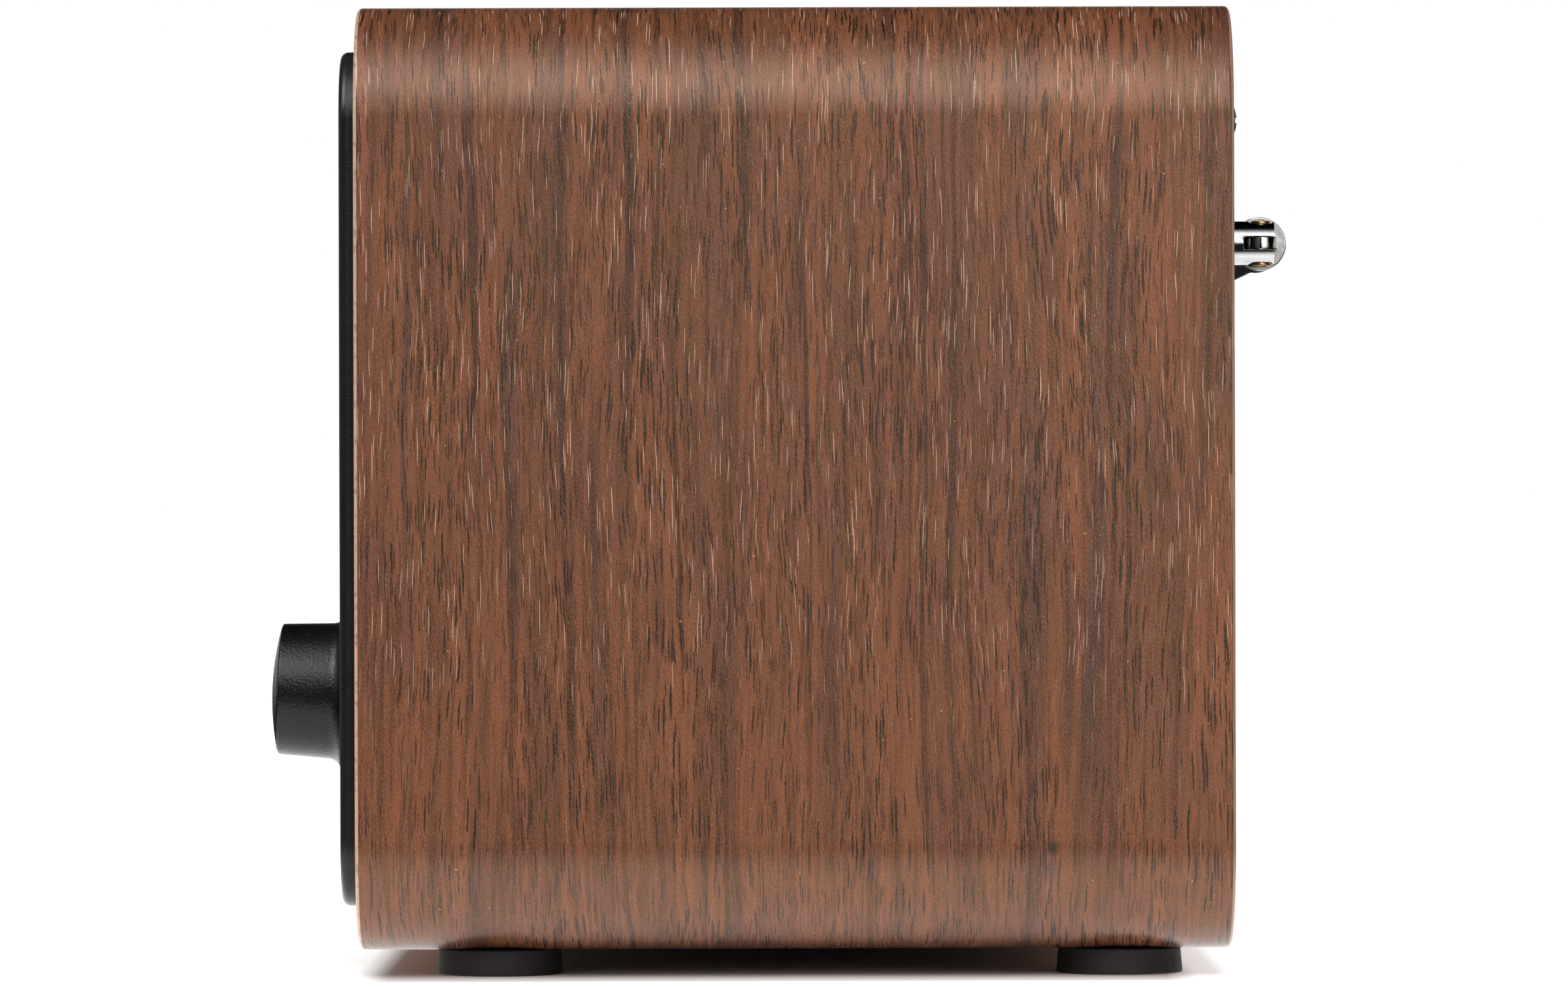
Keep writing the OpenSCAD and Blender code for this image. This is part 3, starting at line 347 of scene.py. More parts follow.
def skin(name, colour, rough, grain=None, lines=None, rub=None, dust=0.0, tone=0.25, metallic=0.0,
         **sockets):
    """A finish with toned colour, smudged shine, and as wanted a grain or tool lines, rubbed edges and dust.

    grain is (cells per metre, depth), lines is (scale along X, Y, Z, depth) and rub is (colour, amount).
    A colour is one eight-bit grey or three values."""
    work, shader = start_finish(name)
    work.give(shader, metallic=metallic, **sockets)
    marks = work.group(MARKS, low=rough[0], high=rough[1])
    work.give(shader, roughness=marks["Roughness"])
    normal = None
    varied = marks["Mask"]
    if grain:
        pebbled = work.group(GRAIN, scale=grain[0])
        normal = work.bump(pebbled["Height"], grain[1])
        varied = pebbled["Tone"]
    if lines:
        drawn = work.group(LINES, along_x=lines[0], along_y=lines[1], along_z=lines[2])
        normal = work.bump(drawn["Height"], lines[3], normal)
        varied = drawn["Tone"]
    full = shade_of(colour)
    darker = tuple(channel * (1 - tone) for channel in full[:3]) + (1.0,)
    shade = work.blend(varied, darker, full)
    if rub:
        shade = work.blend(work.group(RUBBED, amount=rub[1])["Mask"], shade, shade_of(rub[0]))
    if dust:
        shade = work.blend(work.group(DUST, amount=dust)["Mask"], shade, paint(150, 144, 138))
    work.give(shader, base_color=shade)
    if normal is not None:
        work.give(shader, normal=normal)


# Each layer of grain, by its streaks per metre across and along and the noise that they start and are
# full at, then its strength and its colour
GRAIN_LAYERS = (
    ((75, 5, 0.50, 0.72), 0.40, (140, 85, 57)),
    ((420, 22, 0.50, 0.66), 0.35, (132, 75, 48)),
    ((135, 5, 0.54, 0.68), 0.72, (58, 37, 29)),
    ((460, 7, 0.57, 0.66), 0.80, (50, 30, 22)),
    ((260, 8, 0.59, 0.70), 0.55, (76, 55, 54)),
    ((1100, 34, 0.47, 0.62), 0.55, (62, 35, 21)),
)

# Each knot's place on the foil, its size, its strength and its colour
KNOTS = (
    ((42.4 * MM, SIDE_START - 1.3 * MM), 0.95 * MM, 0.9, paint(38, 29, 28)),
    ((42.1 * MM, SIDE_START - 4.8 * MM), 1.2 * MM, 0.6, paint(66, 58, 58)),
)


def walnut():
    """Printed walnut foil with a satin emboss; the grain runs along V of the foil's own map."""
    work, shader = start_finish("walnut")
    flat = work.node("UVMap", uv_map="foil").outputs["UV"]

    def sway(across, along, reach):
        cloud = work.noise(at=work.stretch(flat, (across, along, 1)))
        return work.times(work.minus(cloud, 0.5), reach)

    def shifted(spot, across):
        """A spot moved sideways over the grain."""
        place = work.node("VectorMath", operation="ADD")
        work.feed(place.inputs[0], spot)
        work.feed(place.inputs[1], work.node("CombineXYZ", {"X": across}))
        return place.outputs[0]

    place = shifted(flat, work.plus(sway(40, 13, 6 * MM), sway(260, 75, MM)))

    def streaks(across, along, low, high, detail=3.0):
        """Soft streaks, so many per metre across and along the grain."""
        cloud = work.noise(1.0, detail, 0.55, work.stretch(place, (across, along, 1)))
        return work.span(cloud, low, high)

    def strokes(across, along, share, widest, soft, shift):
        """Slim pointed strokes, one in some cells of a stretched lattice, of random width."""
        lattice = work.node("Mapping", {"Vector": place, "Location": shift, "Scale": (across, along, 1)})
        cells = work.node("TexVoronoi", {"Vector": lattice, "Scale": 1.0}, voronoi_dimensions="2D")
        radius = work.span(work.part(cells.outputs["Color"], "X"), 1 - share, 1.0, 0.0, widest)
        return work.span(work.minus(radius, cells.outputs["Distance"]), 0.0, soft)

    def tint(mask, amount, colour, shade):
        return work.blend(work.times(mask, amount), colour, shade)

    colour = work.blend(streaks(120, 15, 0.34, 0.66), paint(125, 73, 48), paint(99, 62, 40))
    for shape, amount, shade in GRAIN_LAYERS:
        colour = tint(streaks(*shape), amount, colour, paint(*shade))

    # Pale hairs in patches, few near the foot of the side, then dark pores with frayed edges
    hairs = work.math("MAXIMUM", strokes(2200, 34, 0.74, 0.12, 0.025, (2.7, 9.4, 0)),
                      strokes(2900, 56, 0.64, 0.14, 0.03, (5.1, 1.7, 0)))
    hairs = work.times(hairs, streaks(130, 20, 0.34, 0.46, 2.0))
    calm = work.rise(work.part(flat, "Y"), SIDE_START + 4 * MM, SIDE_START + 42 * MM)
    hairs = work.times(hairs, work.math("MAXIMUM", calm, 0.15))
    crowd = streaks(120, 22, 0.36, 0.58, 2.0)
    place = shifted(place, sway(2600, 800, 0.3 * MM))
    sparse = work.plus(streaks(85, 16, 0.34, 0.56, 2.0), 0.25)
    pores = work.math("MAXIMUM", work.times(strokes(2000, 95, 0.95, 0.37, 0.07, (0, 0, 0)), sparse),
                      work.times(strokes(2600, 140, 0.9, 0.36, 0.08, (7.3, 3.1, 0)), crowd))
    colour = tint(pores, 0.92, colour, paint(32, 17, 10))
    colour = tint(hairs, 0.80, colour, paint(230, 196, 172))
    specks = strokes(420, 420, 0.05, 0.07, 0.04, (3.3, 6.6, 0))
    colour = tint(specks, 0.7, colour, paint(210, 172, 142))

    # A small knot near the foot of the right-hand side, and a paler one under it
    for (there, down), size, amount, dark in KNOTS:
        across = work.math("DIVIDE", work.minus(work.part(flat, "X"), there), size)
        along = work.math("DIVIDE", work.minus(work.part(place, "Y"), down), 1.3 * size)
        colour = tint(work.span(work.length(across, along), 0.4, 1.4, 1.0, 0.0), amount, colour, dark)

    # The emboss noise paints pale flecks as painted glints of the satin emboss and darkens other flecks;
    # further down it also gives the emboss its relief
    emboss_and_glints = work.noise(1.0, 2.0, 0.7, work.stretch(flat, (4300, 2300, 1), (0, 0, 0.75)))
    colour = tint(work.span(emboss_and_glints, 0.50, 0.78), 0.16, colour, paint(206, 172, 152))
    colour = tint(work.span(emboss_and_glints, 0.50, 0.24), 0.40, colour, paint(40, 23, 15))

    # Paler along the round of each rim: an uneven band at the front and a fainter one at the back
    behind = work.minus(work.part(flat, "X"), SHELL_LOW.y)
    pale_front_rim = work.within(behind, -0.7 * MM, -0.5 * MM, 0.35 * MM, 0.6 * MM)
    before = work.minus(SHELL_HIGH.y, work.part(flat, "X"))
    rear = work.within(before, -0.4 * MM, -0.2 * MM, 0.2 * MM, 0.45 * MM)
    colour = tint(rear, 0.5, colour, paint(196, 156, 132))
    uneven_rim = work.span(work.noise(900.0, 3.0), 0.30, 0.5, 0.45, 1.0)
    colour = tint(pale_front_rim, uneven_rim, colour, paint(205, 168, 145))
    rubbed = work.group(RUBBED, amount=0.35, scale=500.0)["Mask"]
    colour = tint(rubbed, 1.0, colour, paint(168, 128, 106))
    marks = work.group(MARKS, scale=28.0, low=0.25, high=0.30)
    relief = work.minus(work.times(emboss_and_glints, 0.6), work.times(pores, 0.5))
    work.give(shader, base_color=colour, roughness=marks["Roughness"], normal=work.bump(relief, 0.00005),
              specular_tint=(1.0, 0.80, 0.64, 1.0))


def bare_wood():
    """Sawn softwood with growth rings and a fuzzy surface."""
    work, shader = start_finish("bare_wood")
    rings = work.noise(1.0, 3.0, at=work.stretch(work.place(), (500, 25, 300)))
    colour = work.blend(work.span(rings, 0.35, 0.65), paint(226, 196, 150), paint(190, 150, 104))
    fuzz = work.group(GRAIN, scale=1800.0)
    colour = work.blend(work.times(fuzz["Tone"], 0.3), colour, paint(150, 114, 76))
    work.give(shader, base_color=colour, roughness=0.8, normal=work.bump(fuzz["Height"], 0.0001))


def cloth(name, thread, gap, pitch, depth):
    """Threads over and under each other, darker between."""
    work, shader = start_finish(name)
    weave = work.group(WEAVE, pitch=pitch)
    fade = work.noise(60.0, 3.0)
    shade = work.blend(work.times(fade, 0.4), thread, gap)
    work.give(shader, base_color=work.blend(weave["Gap"], shade, gap), roughness=0.85, sheen_weight=0.2,
              normal=work.bump(weave["Height"], depth))


def smoked_window():
    """Tinted clear plastic, lightly wiped."""
    work, shader = start_finish("smoked_window")
    marks = work.group(MARKS, scale=90.0, low=0.04, high=0.12)
    tint = work.blend(marks["Mask"], paint(74, 78, 82), paint(82, 86, 90))
    work.give(shader, base_color=tint, roughness=marks["Roughness"], transmission_weight=0.75, ior=1.49)


def lcd():
    """A passive display that is switched off: greenish grey under a faint grid of cells."""
    work, shader = start_finish("lcd")
    pitch = 0.6 * MM
    grid = []
    for axis in ("X", "Z"):
        cell = work.math("FRACT", work.times(work.part(work.place(), axis), 1 / pitch))
        grid.append(work.span(cell, 0.84, 0.92))
    lines = work.math("MAXIMUM", grid[0], grid[1])
    stain = work.span(work.noise(60.0, 3.0), 0.3, 0.7)
    colour = work.blend(stain, paint(104, 116, 98), paint(118, 128, 108))
    colour = work.blend(work.times(lines, 0.5), colour, paint(84, 94, 80))
    marks = work.group(MARKS, low=0.1, high=0.2)
    work.give(shader, base_color=colour, roughness=marks["Roughness"])


def circuit_board():
    """Green mask over copper tracks and a few bare pads."""
    work, shader = start_finish("circuit_board")
    cells = work.node("TexVoronoi", {"Vector": work.place(), "Scale": 260.0}, distance="CHEBYCHEV")
    tracks = work.span(cells.outputs["Distance"], 0.30, 0.34)
    colour = work.blend(tracks, paint(16, 92, 52), paint(10, 62, 38))
    pads = work.span(cells.outputs["Distance"], 0.07, 0.09, 1.0, 0.0)
    colour = work.blend(pads, colour, paint(198, 196, 186))
    marks = work.group(MARKS, low=0.25, high=0.4)
    work.give(shader, base_color=colour, metallic=pads, roughness=marks["Roughness"],
              normal=work.bump(tracks, 0.00004))


# Cells per metre and depth of the skin on most mouldings, and on the leads
SATIN, LEAD = (2600, 0.00002), (2200, 0.00002)


def make_finishes():
    walnut()
    bare_wood()
    smoked_window()
    lcd()
    circuit_board()
    cloth("grille_cloth", grey(34), grey(12), 7000.0, 0.00012)
    cloth("spider_cloth", paint(196, 150, 84), paint(140, 98, 48), 5200.0, 0.0001)
    skin("black_plastic", (22, 20, 20), (0.30, 0.38), specular_ior_level=0.26, grain=SATIN, rub=(70, 0.5),
         dust=0.10)
    skin("knob_plastic", (13, 12, 12), (0.28, 0.35), specular_ior_level=0.25, grain=(2300, 0.00006),
         rub=(84, 0.6), dust=0.08)
    skin("button_plastic", 34, (0.32, 0.42), grain=SATIN, rub=(76, 0.6), dust=0.08)
    skin("grille_metal", 44, (0.38, 0.5), grain=(4000, 0.00002), rub=(96, 0.4), dust=0.1)
    skin("basket_steel", 176, (0.3, 0.45), lines=(60, 60, 2600, 0.00002), rub=(210, 0.5), metallic=1.0)
    skin("gasket_rubber", 34, (0.7, 0.8), grain=(1500, 0.00006), dust=0.2)
    skin("ferrite", 62, (0.6, 0.75), grain=(2000, 0.00008), rub=(110, 0.6))
    skin("copper", (205, 130, 92), (0.3, 0.4), lines=(30, 4500, 30, 0.00005), metallic=1.0)
    skin("paper", (52, 48, 45), (0.8, 0.9), grain=(1300, 0.00015), tone=0.45)
    skin("white_plastic", (226, 224, 216), (0.4, 0.5), grain=(2400, 0.00002), tone=0.06)
    skin("dark_plastic", 30, (0.38, 0.5), grain=SATIN, rub=(80, 0.5), dust=0.12)
    skin("red_plastic", (178, 42, 30), (0.35, 0.45), grain=SATIN, tone=0.1)
    skin("zinc_steel", (196, 196, 192), (0.25, 0.4), lines=(2600, 60, 60, 0.00002), rub=(228, 0.5),
         metallic=1.0)
    skin("black_steel", 40, (0.36, 0.5), grain=(3000, 0.00002), rub=(120, 0.7), metallic=0.6)
    skin("tin_plate", 206, (0.18, 0.32), lines=(40, 2400, 40, 0.00002), metallic=1.0)
    skin("can_sleeve", (26, 34, 76), (0.25, 0.35), grain=(1800, 0.00001), dust=0.2)
    skin("aluminium", 206, (0.35, 0.5), lines=(40, 40, 3000, 0.00003), metallic=1.0)
    skin("chrome", 172, (0.07, 0.16), lines=(40, 900, 900, 0.000006), rub=((196, 176, 150), 0.3), tone=0.12,
         metallic=1.0)
    skin("brass", (206, 172, 118), (0.22, 0.4), lines=(1800, 1800, 60, 0.00003), rub=((150, 112, 70), 0.6),
         metallic=1.0)
    skin("red_lead", (170, 26, 20), (0.4, 0.5), grain=LEAD, tone=0.1)
    skin("ribbon", 206, (0.35, 0.45), lines=(1600, 30, 30, 0.00012), tone=0.3)
    skin("dark_lead", 34, (0.4, 0.5), grain=LEAD, tone=0.2)
    skin("foot_rubber", (22, 19, 17), (0.62, 0.76), specular_ior_level=0.2, grain=(2400, 0.00005),
         rub=(60, 0.4), dust=0.12)


make_finishes()


# ---- modelling ----

LEAST_CORNER = 0.3 * MM


class Outline:
    """A closed outline that is drawn on into a wall, level by level.

    size is a circle's radius, or with a corner radius a rectangle's width and height. A level is
    (depth, inset): how far behind the frame's X-Y plane, and how far inside the full size."""

    def __init__(self, bm, place, size, corner=None, start=(0, 0), steps=12):
        self.bm = bm
        self.place = place
        self.corner = size if corner is None else corner
        self.half = Vector((size, size)) if corner is None else Vector(size) / 2
        down, inset = start
        self.reach, radius = self.spread(inset)
        here = place @ moved(0, 0, -down)
        known = set(bm.edges)
        if corner is None:
            bmesh.ops.create_circle(bm, segments=4 * steps, radius=radius, matrix=here)
        else:
            verts = bmesh.ops.create_grid(bm, x_segments=1, y_segments=1, size=1.0)["verts"]
            bmesh.ops.scale(bm, vec=(self.reach.x + radius, self.reach.y + radius, 1.0), verts=verts)
            bmesh.ops.bevel(bm, geom=verts, offset=radius, affect="VERTICES", segments=steps, profile=0.5,
                            material=-1)
            face = next(face for edge in bm.edges if edge not in known for face in edge.link_faces)
            bmesh.ops.transform(bm, matrix=here, verts=face.verts)
            bmesh.ops.delete(bm, geom=[face], context="FACES_ONLY")
        self.edges = [edge for edge in bm.edges if edge not in known]
        self.first = self.edges

    def spread(self, inset):
        """How far the corners' centres lie from the middle, and the corners' radius."""
        radius = max(self.corner - inset, LEAST_CORNER)
        return self.half - Vector((inset + radius, inset + radius)), radius

    def draw(self, *levels, place=None):
        """Draws the wall on through each level, in a new frame if one is given."""
        self.place = place or self.place
        back = self.place.inverted()
        for down, inset in levels:
            geom = bmesh.ops.extrude_edge_only(self.bm, edges=self.edges)["geom"]
            verts = set(corners(geom))
            self.edges = [part for part in geom
                          if isinstance(part, bmesh.types.BMEdge) and verts.issuperset(part.verts)]
            reach, radius = self.spread(inset)
            for vert in verts:
                spot = back @ vert.co
                side = Vector((math.copysign(1, spot.x), math.copysign(1, spot.y)))
                out = (spot.xy - self.reach * side).normalized() * radius
                core = reach * side + out
                vert.co = self.place @ Vector((core.x, core.y, -down))
            self.reach = reach
        return self

    def close(self):
        """Fills the flat faces at both ends."""
        fill(self.bm, self.first)
        fill(self.bm, self.edges)


def corners(geom):
    return [part for part in geom if isinstance(part, bmesh.types.BMVert)]


def fill(bm, *rings):
    """Fills a flat face inside the first ring of edges, with a hole at each other ring."""
    edges = [edge for ring in rings for edge in ring]
    bmesh.ops.triangle_fill(bm, edges=edges, use_beauty=True, use_dissolve=False)


def rounding(radius, steps=4, depth=0.0):
    """Levels of a quarter round at the front edge, or with a depth at the back edge of such a slab."""
    if not radius:
        return [(depth, 0)]
    levels = []
    for step in range(steps + 1):
        angle = QUARTER * step / steps
        levels.append((radius * (1 - math.cos(angle)), radius * (1 - math.sin(angle))))
    return [(depth - down, inset) for down, inset in reversed(levels)] if depth else levels


def slab(bm, place, size, corner, depth, front, back=0.0, steps=12, bends=4):
    """The side of a slab with rounded edges, from its front back; the frame's Z points out of the front."""
    levels = rounding(front, bends) + rounding(back, bends, depth)
    return Outline(bm, place, size, corner, levels[0], steps).draw(*levels[1:])


def turned(bm, place, profile, steps):
    """Spins a profile of (distance along Z, radius) round a frame's Z axis."""
    known = set(bm.verts)
    verts = [bm.verts.new((radius, 0, along)) for along, radius in profile]
    edges = [bm.edges.new(pair) for pair in zip(verts, verts[1:])]
    bmesh.ops.spin(bm, geom=verts + edges, cent=(0, 0, 0), axis=(0, 0, 1), dvec=(0, 0, 0), angle=TURN,
                   steps=steps, use_merge=True, use_duplicate=False)
    fresh = [vert for vert in bm.verts if vert not in known]
    bmesh.ops.remove_doubles(bm, verts=fresh, dist=0.001 * MM)
    fresh = [vert for vert in bm.verts if vert not in known]
    bmesh.ops.transform(bm, matrix=place, verts=fresh)


def eased(profile, ease):
    """Cuts each corner of a turned profile with a small round."""
    made = [profile[0]]
    for before, here, after in zip(profile, profile[1:], profile[2:]):
        before, here, after = Vector(before), Vector(here), Vector(after)
        to_before, to_after = before - here, after - here
        reach = min(ease, to_before.length / 2.1, to_after.length / 2.1)
        start = here + to_before.normalized() * reach
        end = here + to_after.normalized() * reach
        for share in (0.0, 0.25, 0.5, 0.75, 1.0):
            first = start.lerp(here, share)
            second = here.lerp(end, share)
            made.append(tuple(first.lerp(second, share)))
    return made + [profile[-1]]


def finish_piece(name, bm, finish, body, node, sharp=EDGE_TURN):
    """Makes a piece of the radio from a shape, and rides it on its body in place of a CAD node."""
    bmesh.ops.remove_doubles(bm, verts=bm.verts, dist=0.0005 * MM)
    bmesh.ops.recalc_face_normals(bm, faces=bm.faces)
    mesh = bpy.data.meshes.new(name)
    bm.to_mesh(mesh)
    bm.free()
    mesh.polygons.foreach_set("use_smooth", [True] * len(mesh.polygons))
    mesh.set_sharp_from_angle(angle=sharp)
    mesh.materials.append(FINISHES[finish])
    piece = add_object(name, mesh)
    weighted = piece.modifiers.new("even shading", "WEIGHTED_NORMAL")
    weighted.keep_sharp = True
    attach(piece, body)
    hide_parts(node)
    return piece


def softened(name, node, width, finish, body):
    """A copy of a CAD node with its flat faces whole and its hard edges rounded."""
    bm = bmesh.new()
    bm.from_mesh(frame["nodes"][node].data)
    bmesh.ops.remove_doubles(bm, verts=bm.verts, dist=0.001 * MM)
    bmesh.ops.dissolve_limit(bm, angle_limit=math.radians(1), verts=bm.verts, edges=bm.edges)
    hard = [edge for edge in bm.edges if edge.is_manifold and edge.calc_face_angle() > HARD_TURN]
    bmesh.ops.bevel(bm, geom=hard, offset=width, affect="EDGES", segments=2, profile=0.5, material=-1,
                    clamp_overlap=True)
    return finish_piece(name, bm, finish, body, node, sharp=BOLD_TURN)


# ---- cabinet ----

def unroll_foil(bm, front):
    """Gives the sleeve a map in metres: U from front to back and over the rims, and V round the outside."""
    foil = bm.loops.layers.uv.new("foil")
    reach = Vector((SHELL_HIGH.x - SHELL_LOW.x, SHELL_HIGH.z - SHELL_LOW.z)) / 2 - Vector((CORNER, CORNER))
    starts = (reach.x, reach.x + 2 * reach.y, 3 * reach.x + 2 * reach.y, 3 * reach.x + 4 * reach.y)
    girth = 4 * (reach.x + reach.y + QUARTER * CORNER)
    order = {(1, -1): 0, (1, 1): 1, (-1, 1): 2, (-1, -1): 3}
    back = front.inverted()
    for face in bm.faces:
        rounds, insets = [], []
        for loop in face.loops:
            spot = back @ loop.vert.co
            side = (math.copysign(1, spot.x), math.copysign(1, spot.y))
            number = order[side]
            out = spot.xy - reach * Vector(side)
            bend = math.remainder(math.atan2(out.y, out.x) - (number - 1) * QUARTER, TURN)
            rounds.append(starts[number] + CORNER * (number * QUARTER + bend))
            insets.append(CORNER - out.length)
        for loop, along, inset in zip(face.loops, rounds, insets):
            if max(rounds) - along > girth / 2:
                along += girth
            loop[foil].uv = (loop.vert.co.y + math.copysign(inset, loop.vert.co.y), along)


def make_sleeve():
    """The bent sleeve with rounded corners and softened rims."""
    bm = bmesh.new()
    front, wide, tall, deep = front_of("cabinet_shell")
    wall, rim, ease = 6.5 * MM, 0.8 * MM, 0.3 * MM
    shell = slab(bm, front, (wide, tall), CORNER, deep, rim, rim, steps=24)
    shell.draw((deep, wall - ease), (deep - ease, wall), (ease, wall), (0, wall - ease), (0, rim))
    unroll_foil(bm, front)
    finish_piece("cabinet_sleeve", bm, "walnut", "radio", "cabinet_shell")


# ---- front ----

def tube(bm, place, outer, inner, length):
    """A plain boss with a bore, along a frame's Z from its origin back."""
    turned(bm, place, [(0, outer), (-length, outer), (-length, inner), (0, inner), (0, outer)], 24)


def screw_places(node, head):
    """The X and Z of four screws in a rectangle, from their heads' radius."""
    low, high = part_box(node)
    return [(x, z) for x in (low.x + head, high.x - head) for z in (low.z + head, high.z - head)]


def make_front_panel():
    """The moulded front: a proud face with soft edges, its openings, and the skirt inside the sleeve."""
    bm = bmesh.new()
    ease, gap = 0.25 * MM, 0.1 * MM
    thick, deep, skirt = 5 * MM, 15 * MM, 2.5 * MM
    front, wide, tall, _ = front_of("front_panel")
    shell = slab(bm, front, (wide, tall), PANEL_CORNER, deep, 1.2 * MM, 0.2 * MM, steps=20, bends=6)
    shell.draw((deep, skirt), (thick, skirt))
    fronts, backs = [shell.first], [shell.edges]

    def opening(node, size, corner, depth, steps):
        """The eased mouth and wall of an opening for a node, down to a depth."""
        place = middle_of(node)
        here = facing_front(place.x, PANEL_LOW.y, place.z)
        made = Outline(bm, here, size, corner, (0, -ease), steps).draw((ease, 0), (depth, 0))
        fronts.append(made.first)
        return made

    def pocket(node, corner, hole, ledge, steps):
        """A pocket that a plate lies in, with a round hole, or a ledge round a square one, in its floor."""
        _, wide, tall, _ = front_of(node)
        floor = 1.6 * MM
        size = (wide + 2 * gap, tall + 2 * gap)
        walls = opening(node, size, corner, floor, steps)
        if ledge:
            hole = (size[0] - ledge, size[1] - ledge)
        mouth = Outline(bm, walls.place, hole, corner if ledge else None, (floor, 0), steps).draw((thick, 0))
        fill(bm, walls.edges, mouth.first)
        backs.append(mouth.edges)

    pocket("speaker_grille", 8 * MM, 39 * MM, None, 16)
    pocket("display_lens", 1.5 * MM, None, 4.2 * MM, 6)
    for number in range(1, 5):
        hole = opening(f"button_{number}", (22.5 * MM, 7.5 * MM), 1.75 * MM, thick, 6)
        backs.append(hole.edges)

    # Leaning recess of the knob, and the hole for the bush under it
    flat = facing_front(KNOB_AXIS.translation.x, PANEL_LOW.y, KNOB_AXIS.translation.z)
    recess, bush = 14.4 * MM, 3.7 * MM
    sunk = Outline(bm, flat, recess, None, (0, -ease), 18)
    sunk.draw((0.8 * MM, 0), (1.2 * MM, 0), (1.2 * MM, recess - bush), place=KNOB_AXIS)
    sunk.draw((thick, recess - bush), place=flat)
    fronts.append(sunk.first)
    backs.append(sunk.edges)
    fill(bm, *fronts)
    fill(bm, *backs)

    # Bosses for the screws from behind, and the collar round the knob's bush
    inside = PANEL_LOW.y + thick
    for x, z in screw_places("front_panel_screws", PANEL_SCREW):
        tube(bm, facing_front(x, inside, z), 3.5 * MM, 1.3 * MM, deep - thick)
    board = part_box("front_board")[0].y
    for x, z in screw_places("front_board_screws", BOARD_SCREW):
        tube(bm, facing_front(x, inside, z), 2.5 * MM, MM, board - inside)
    tube(bm, KNOB_AXIS @ moved(0, 0, -4.8 * MM), 9.5 * MM, bush, 1.7 * MM)
    finish_piece("front_moulding", bm, "black_plastic", "radio", "front_panel")


def make_grille():
    """A steel sheet with staggered round holes and a plain margin."""
    bm = bmesh.new()
    here, wide, tall, thick = front_of("speaker_grille")
    pitch, hole = 3 * MM, MM
    row = pitch * math.sqrt(3) / 2
    hexagon = pitch / math.sqrt(3)
    columns, rows = 22, 20
    for count, radius in ((6, hexagon), (12, hole)):
        bmesh.ops.create_circle(bm, segments=count, radius=radius)
    fill(bm, list(bm.edges))

    def repeat(faces, step, count):
        """Copies faces count times, each a step on from the last, and returns them all."""
        every = list(faces)
        geom = list({part for face in faces for part in (*face.verts, *face.edges, face)})
        for number in range(1, count + 1):
            copy = bmesh.ops.duplicate(bm, geom=geom)["geom"]
            bmesh.ops.translate(bm, vec=Vector(step) * number, verts=corners(copy))
            every += [part for part in copy if isinstance(part, bmesh.types.BMFace)]
        return every

    line = repeat(list(bm.faces), (pitch, 0, 0), 2 * columns)
    pair = repeat(line, (pitch / 2, row, 0), 1)
    repeat(pair, (0, 2 * row, 0), rows)
    bmesh.ops.translate(bm, vec=(-columns * pitch, -rows * row, 0), verts=bm.verts)

    # Holes stop a margin short of the edge and follow its rounded corners
    margin, corner = 3.5 * MM, 5 * MM
    reach = Vector((wide / 2 - margin - corner, tall / 2 - margin - corner))

    def outside(face):
        centre = face.calc_center_median()
        shift = 0.5 if (round(centre.y / row) + rows) % 2 else 0.0
        x = (round(centre.x / pitch - shift) + shift) * pitch
        y = round(centre.y / row) * row
        return math.hypot(max(abs(x) - reach.x, 0), max(abs(y) - reach.y, 0)) > corner - hexagon

    bmesh.ops.delete(bm, geom=[face for face in bm.faces if outside(face)], context="FACES")
    bmesh.ops.remove_doubles(bm, verts=bm.verts, dist=0.01 * MM)
    jagged = [edge for edge in bm.edges if edge.is_boundary and edge.calc_length() > 1.2 * hole]
    rim = Outline(bm, Matrix(), (wide, tall), 7.9 * MM)
    fill(bm, rim.edges, jagged)
    sheet = bmesh.ops.extrude_face_region(bm, geom=list(bm.faces))["geom"]
    bmesh.ops.translate(bm, vec=(0, 0, -thick), verts=corners(sheet))
    bmesh.ops.transform(bm, matrix=here, verts=bm.verts)
    finish_piece("perforated_grille", bm, "grille_metal", "radio", "speaker_grille")


def make_window():
    """The smoked window over the display."""
    bm = bmesh.new()
    here, wide, tall, thick = front_of("display_lens")
    slab(bm, here, (wide, tall), 1.4 * MM, thick, 0.3 * MM, 0.1 * MM, steps=6).close()
    finish_piece("display_window", bm, "smoked_window", "radio", "display_lens")


def make_buttons():
    """Four caps with a soft edge and a shallow hollow for the fingertip, on their flanges and stems."""
    edge, stem, tall, flange, lip = 0.6 * MM, 1.6 * MM, 5.9 * MM, 1.2 * MM, -0.8 * MM
    rear = tall + flange
    for number in range(1, 5):
        bm = bmesh.new()
        here, _, _, deep = front_of(f"button_{number}")
        cap = Outline(bm, here, (22 * MM, 7 * MM), 1.5 * MM, (0.14 * MM, 2.2 * MM), 6)
        cap.draw((0.03 * MM, 1.3 * MM), *rounding(edge), (tall, 0), (tall, lip), (rear, lip))
        cap.close()
        turned(bm, here, [(-rear, 0), (-rear, stem), (-deep, stem), (-deep, 0)], 24)
        finish_piece(f"button_cap_{number}", bm, "button_plastic", f"button_{number}", f"button_{number}")


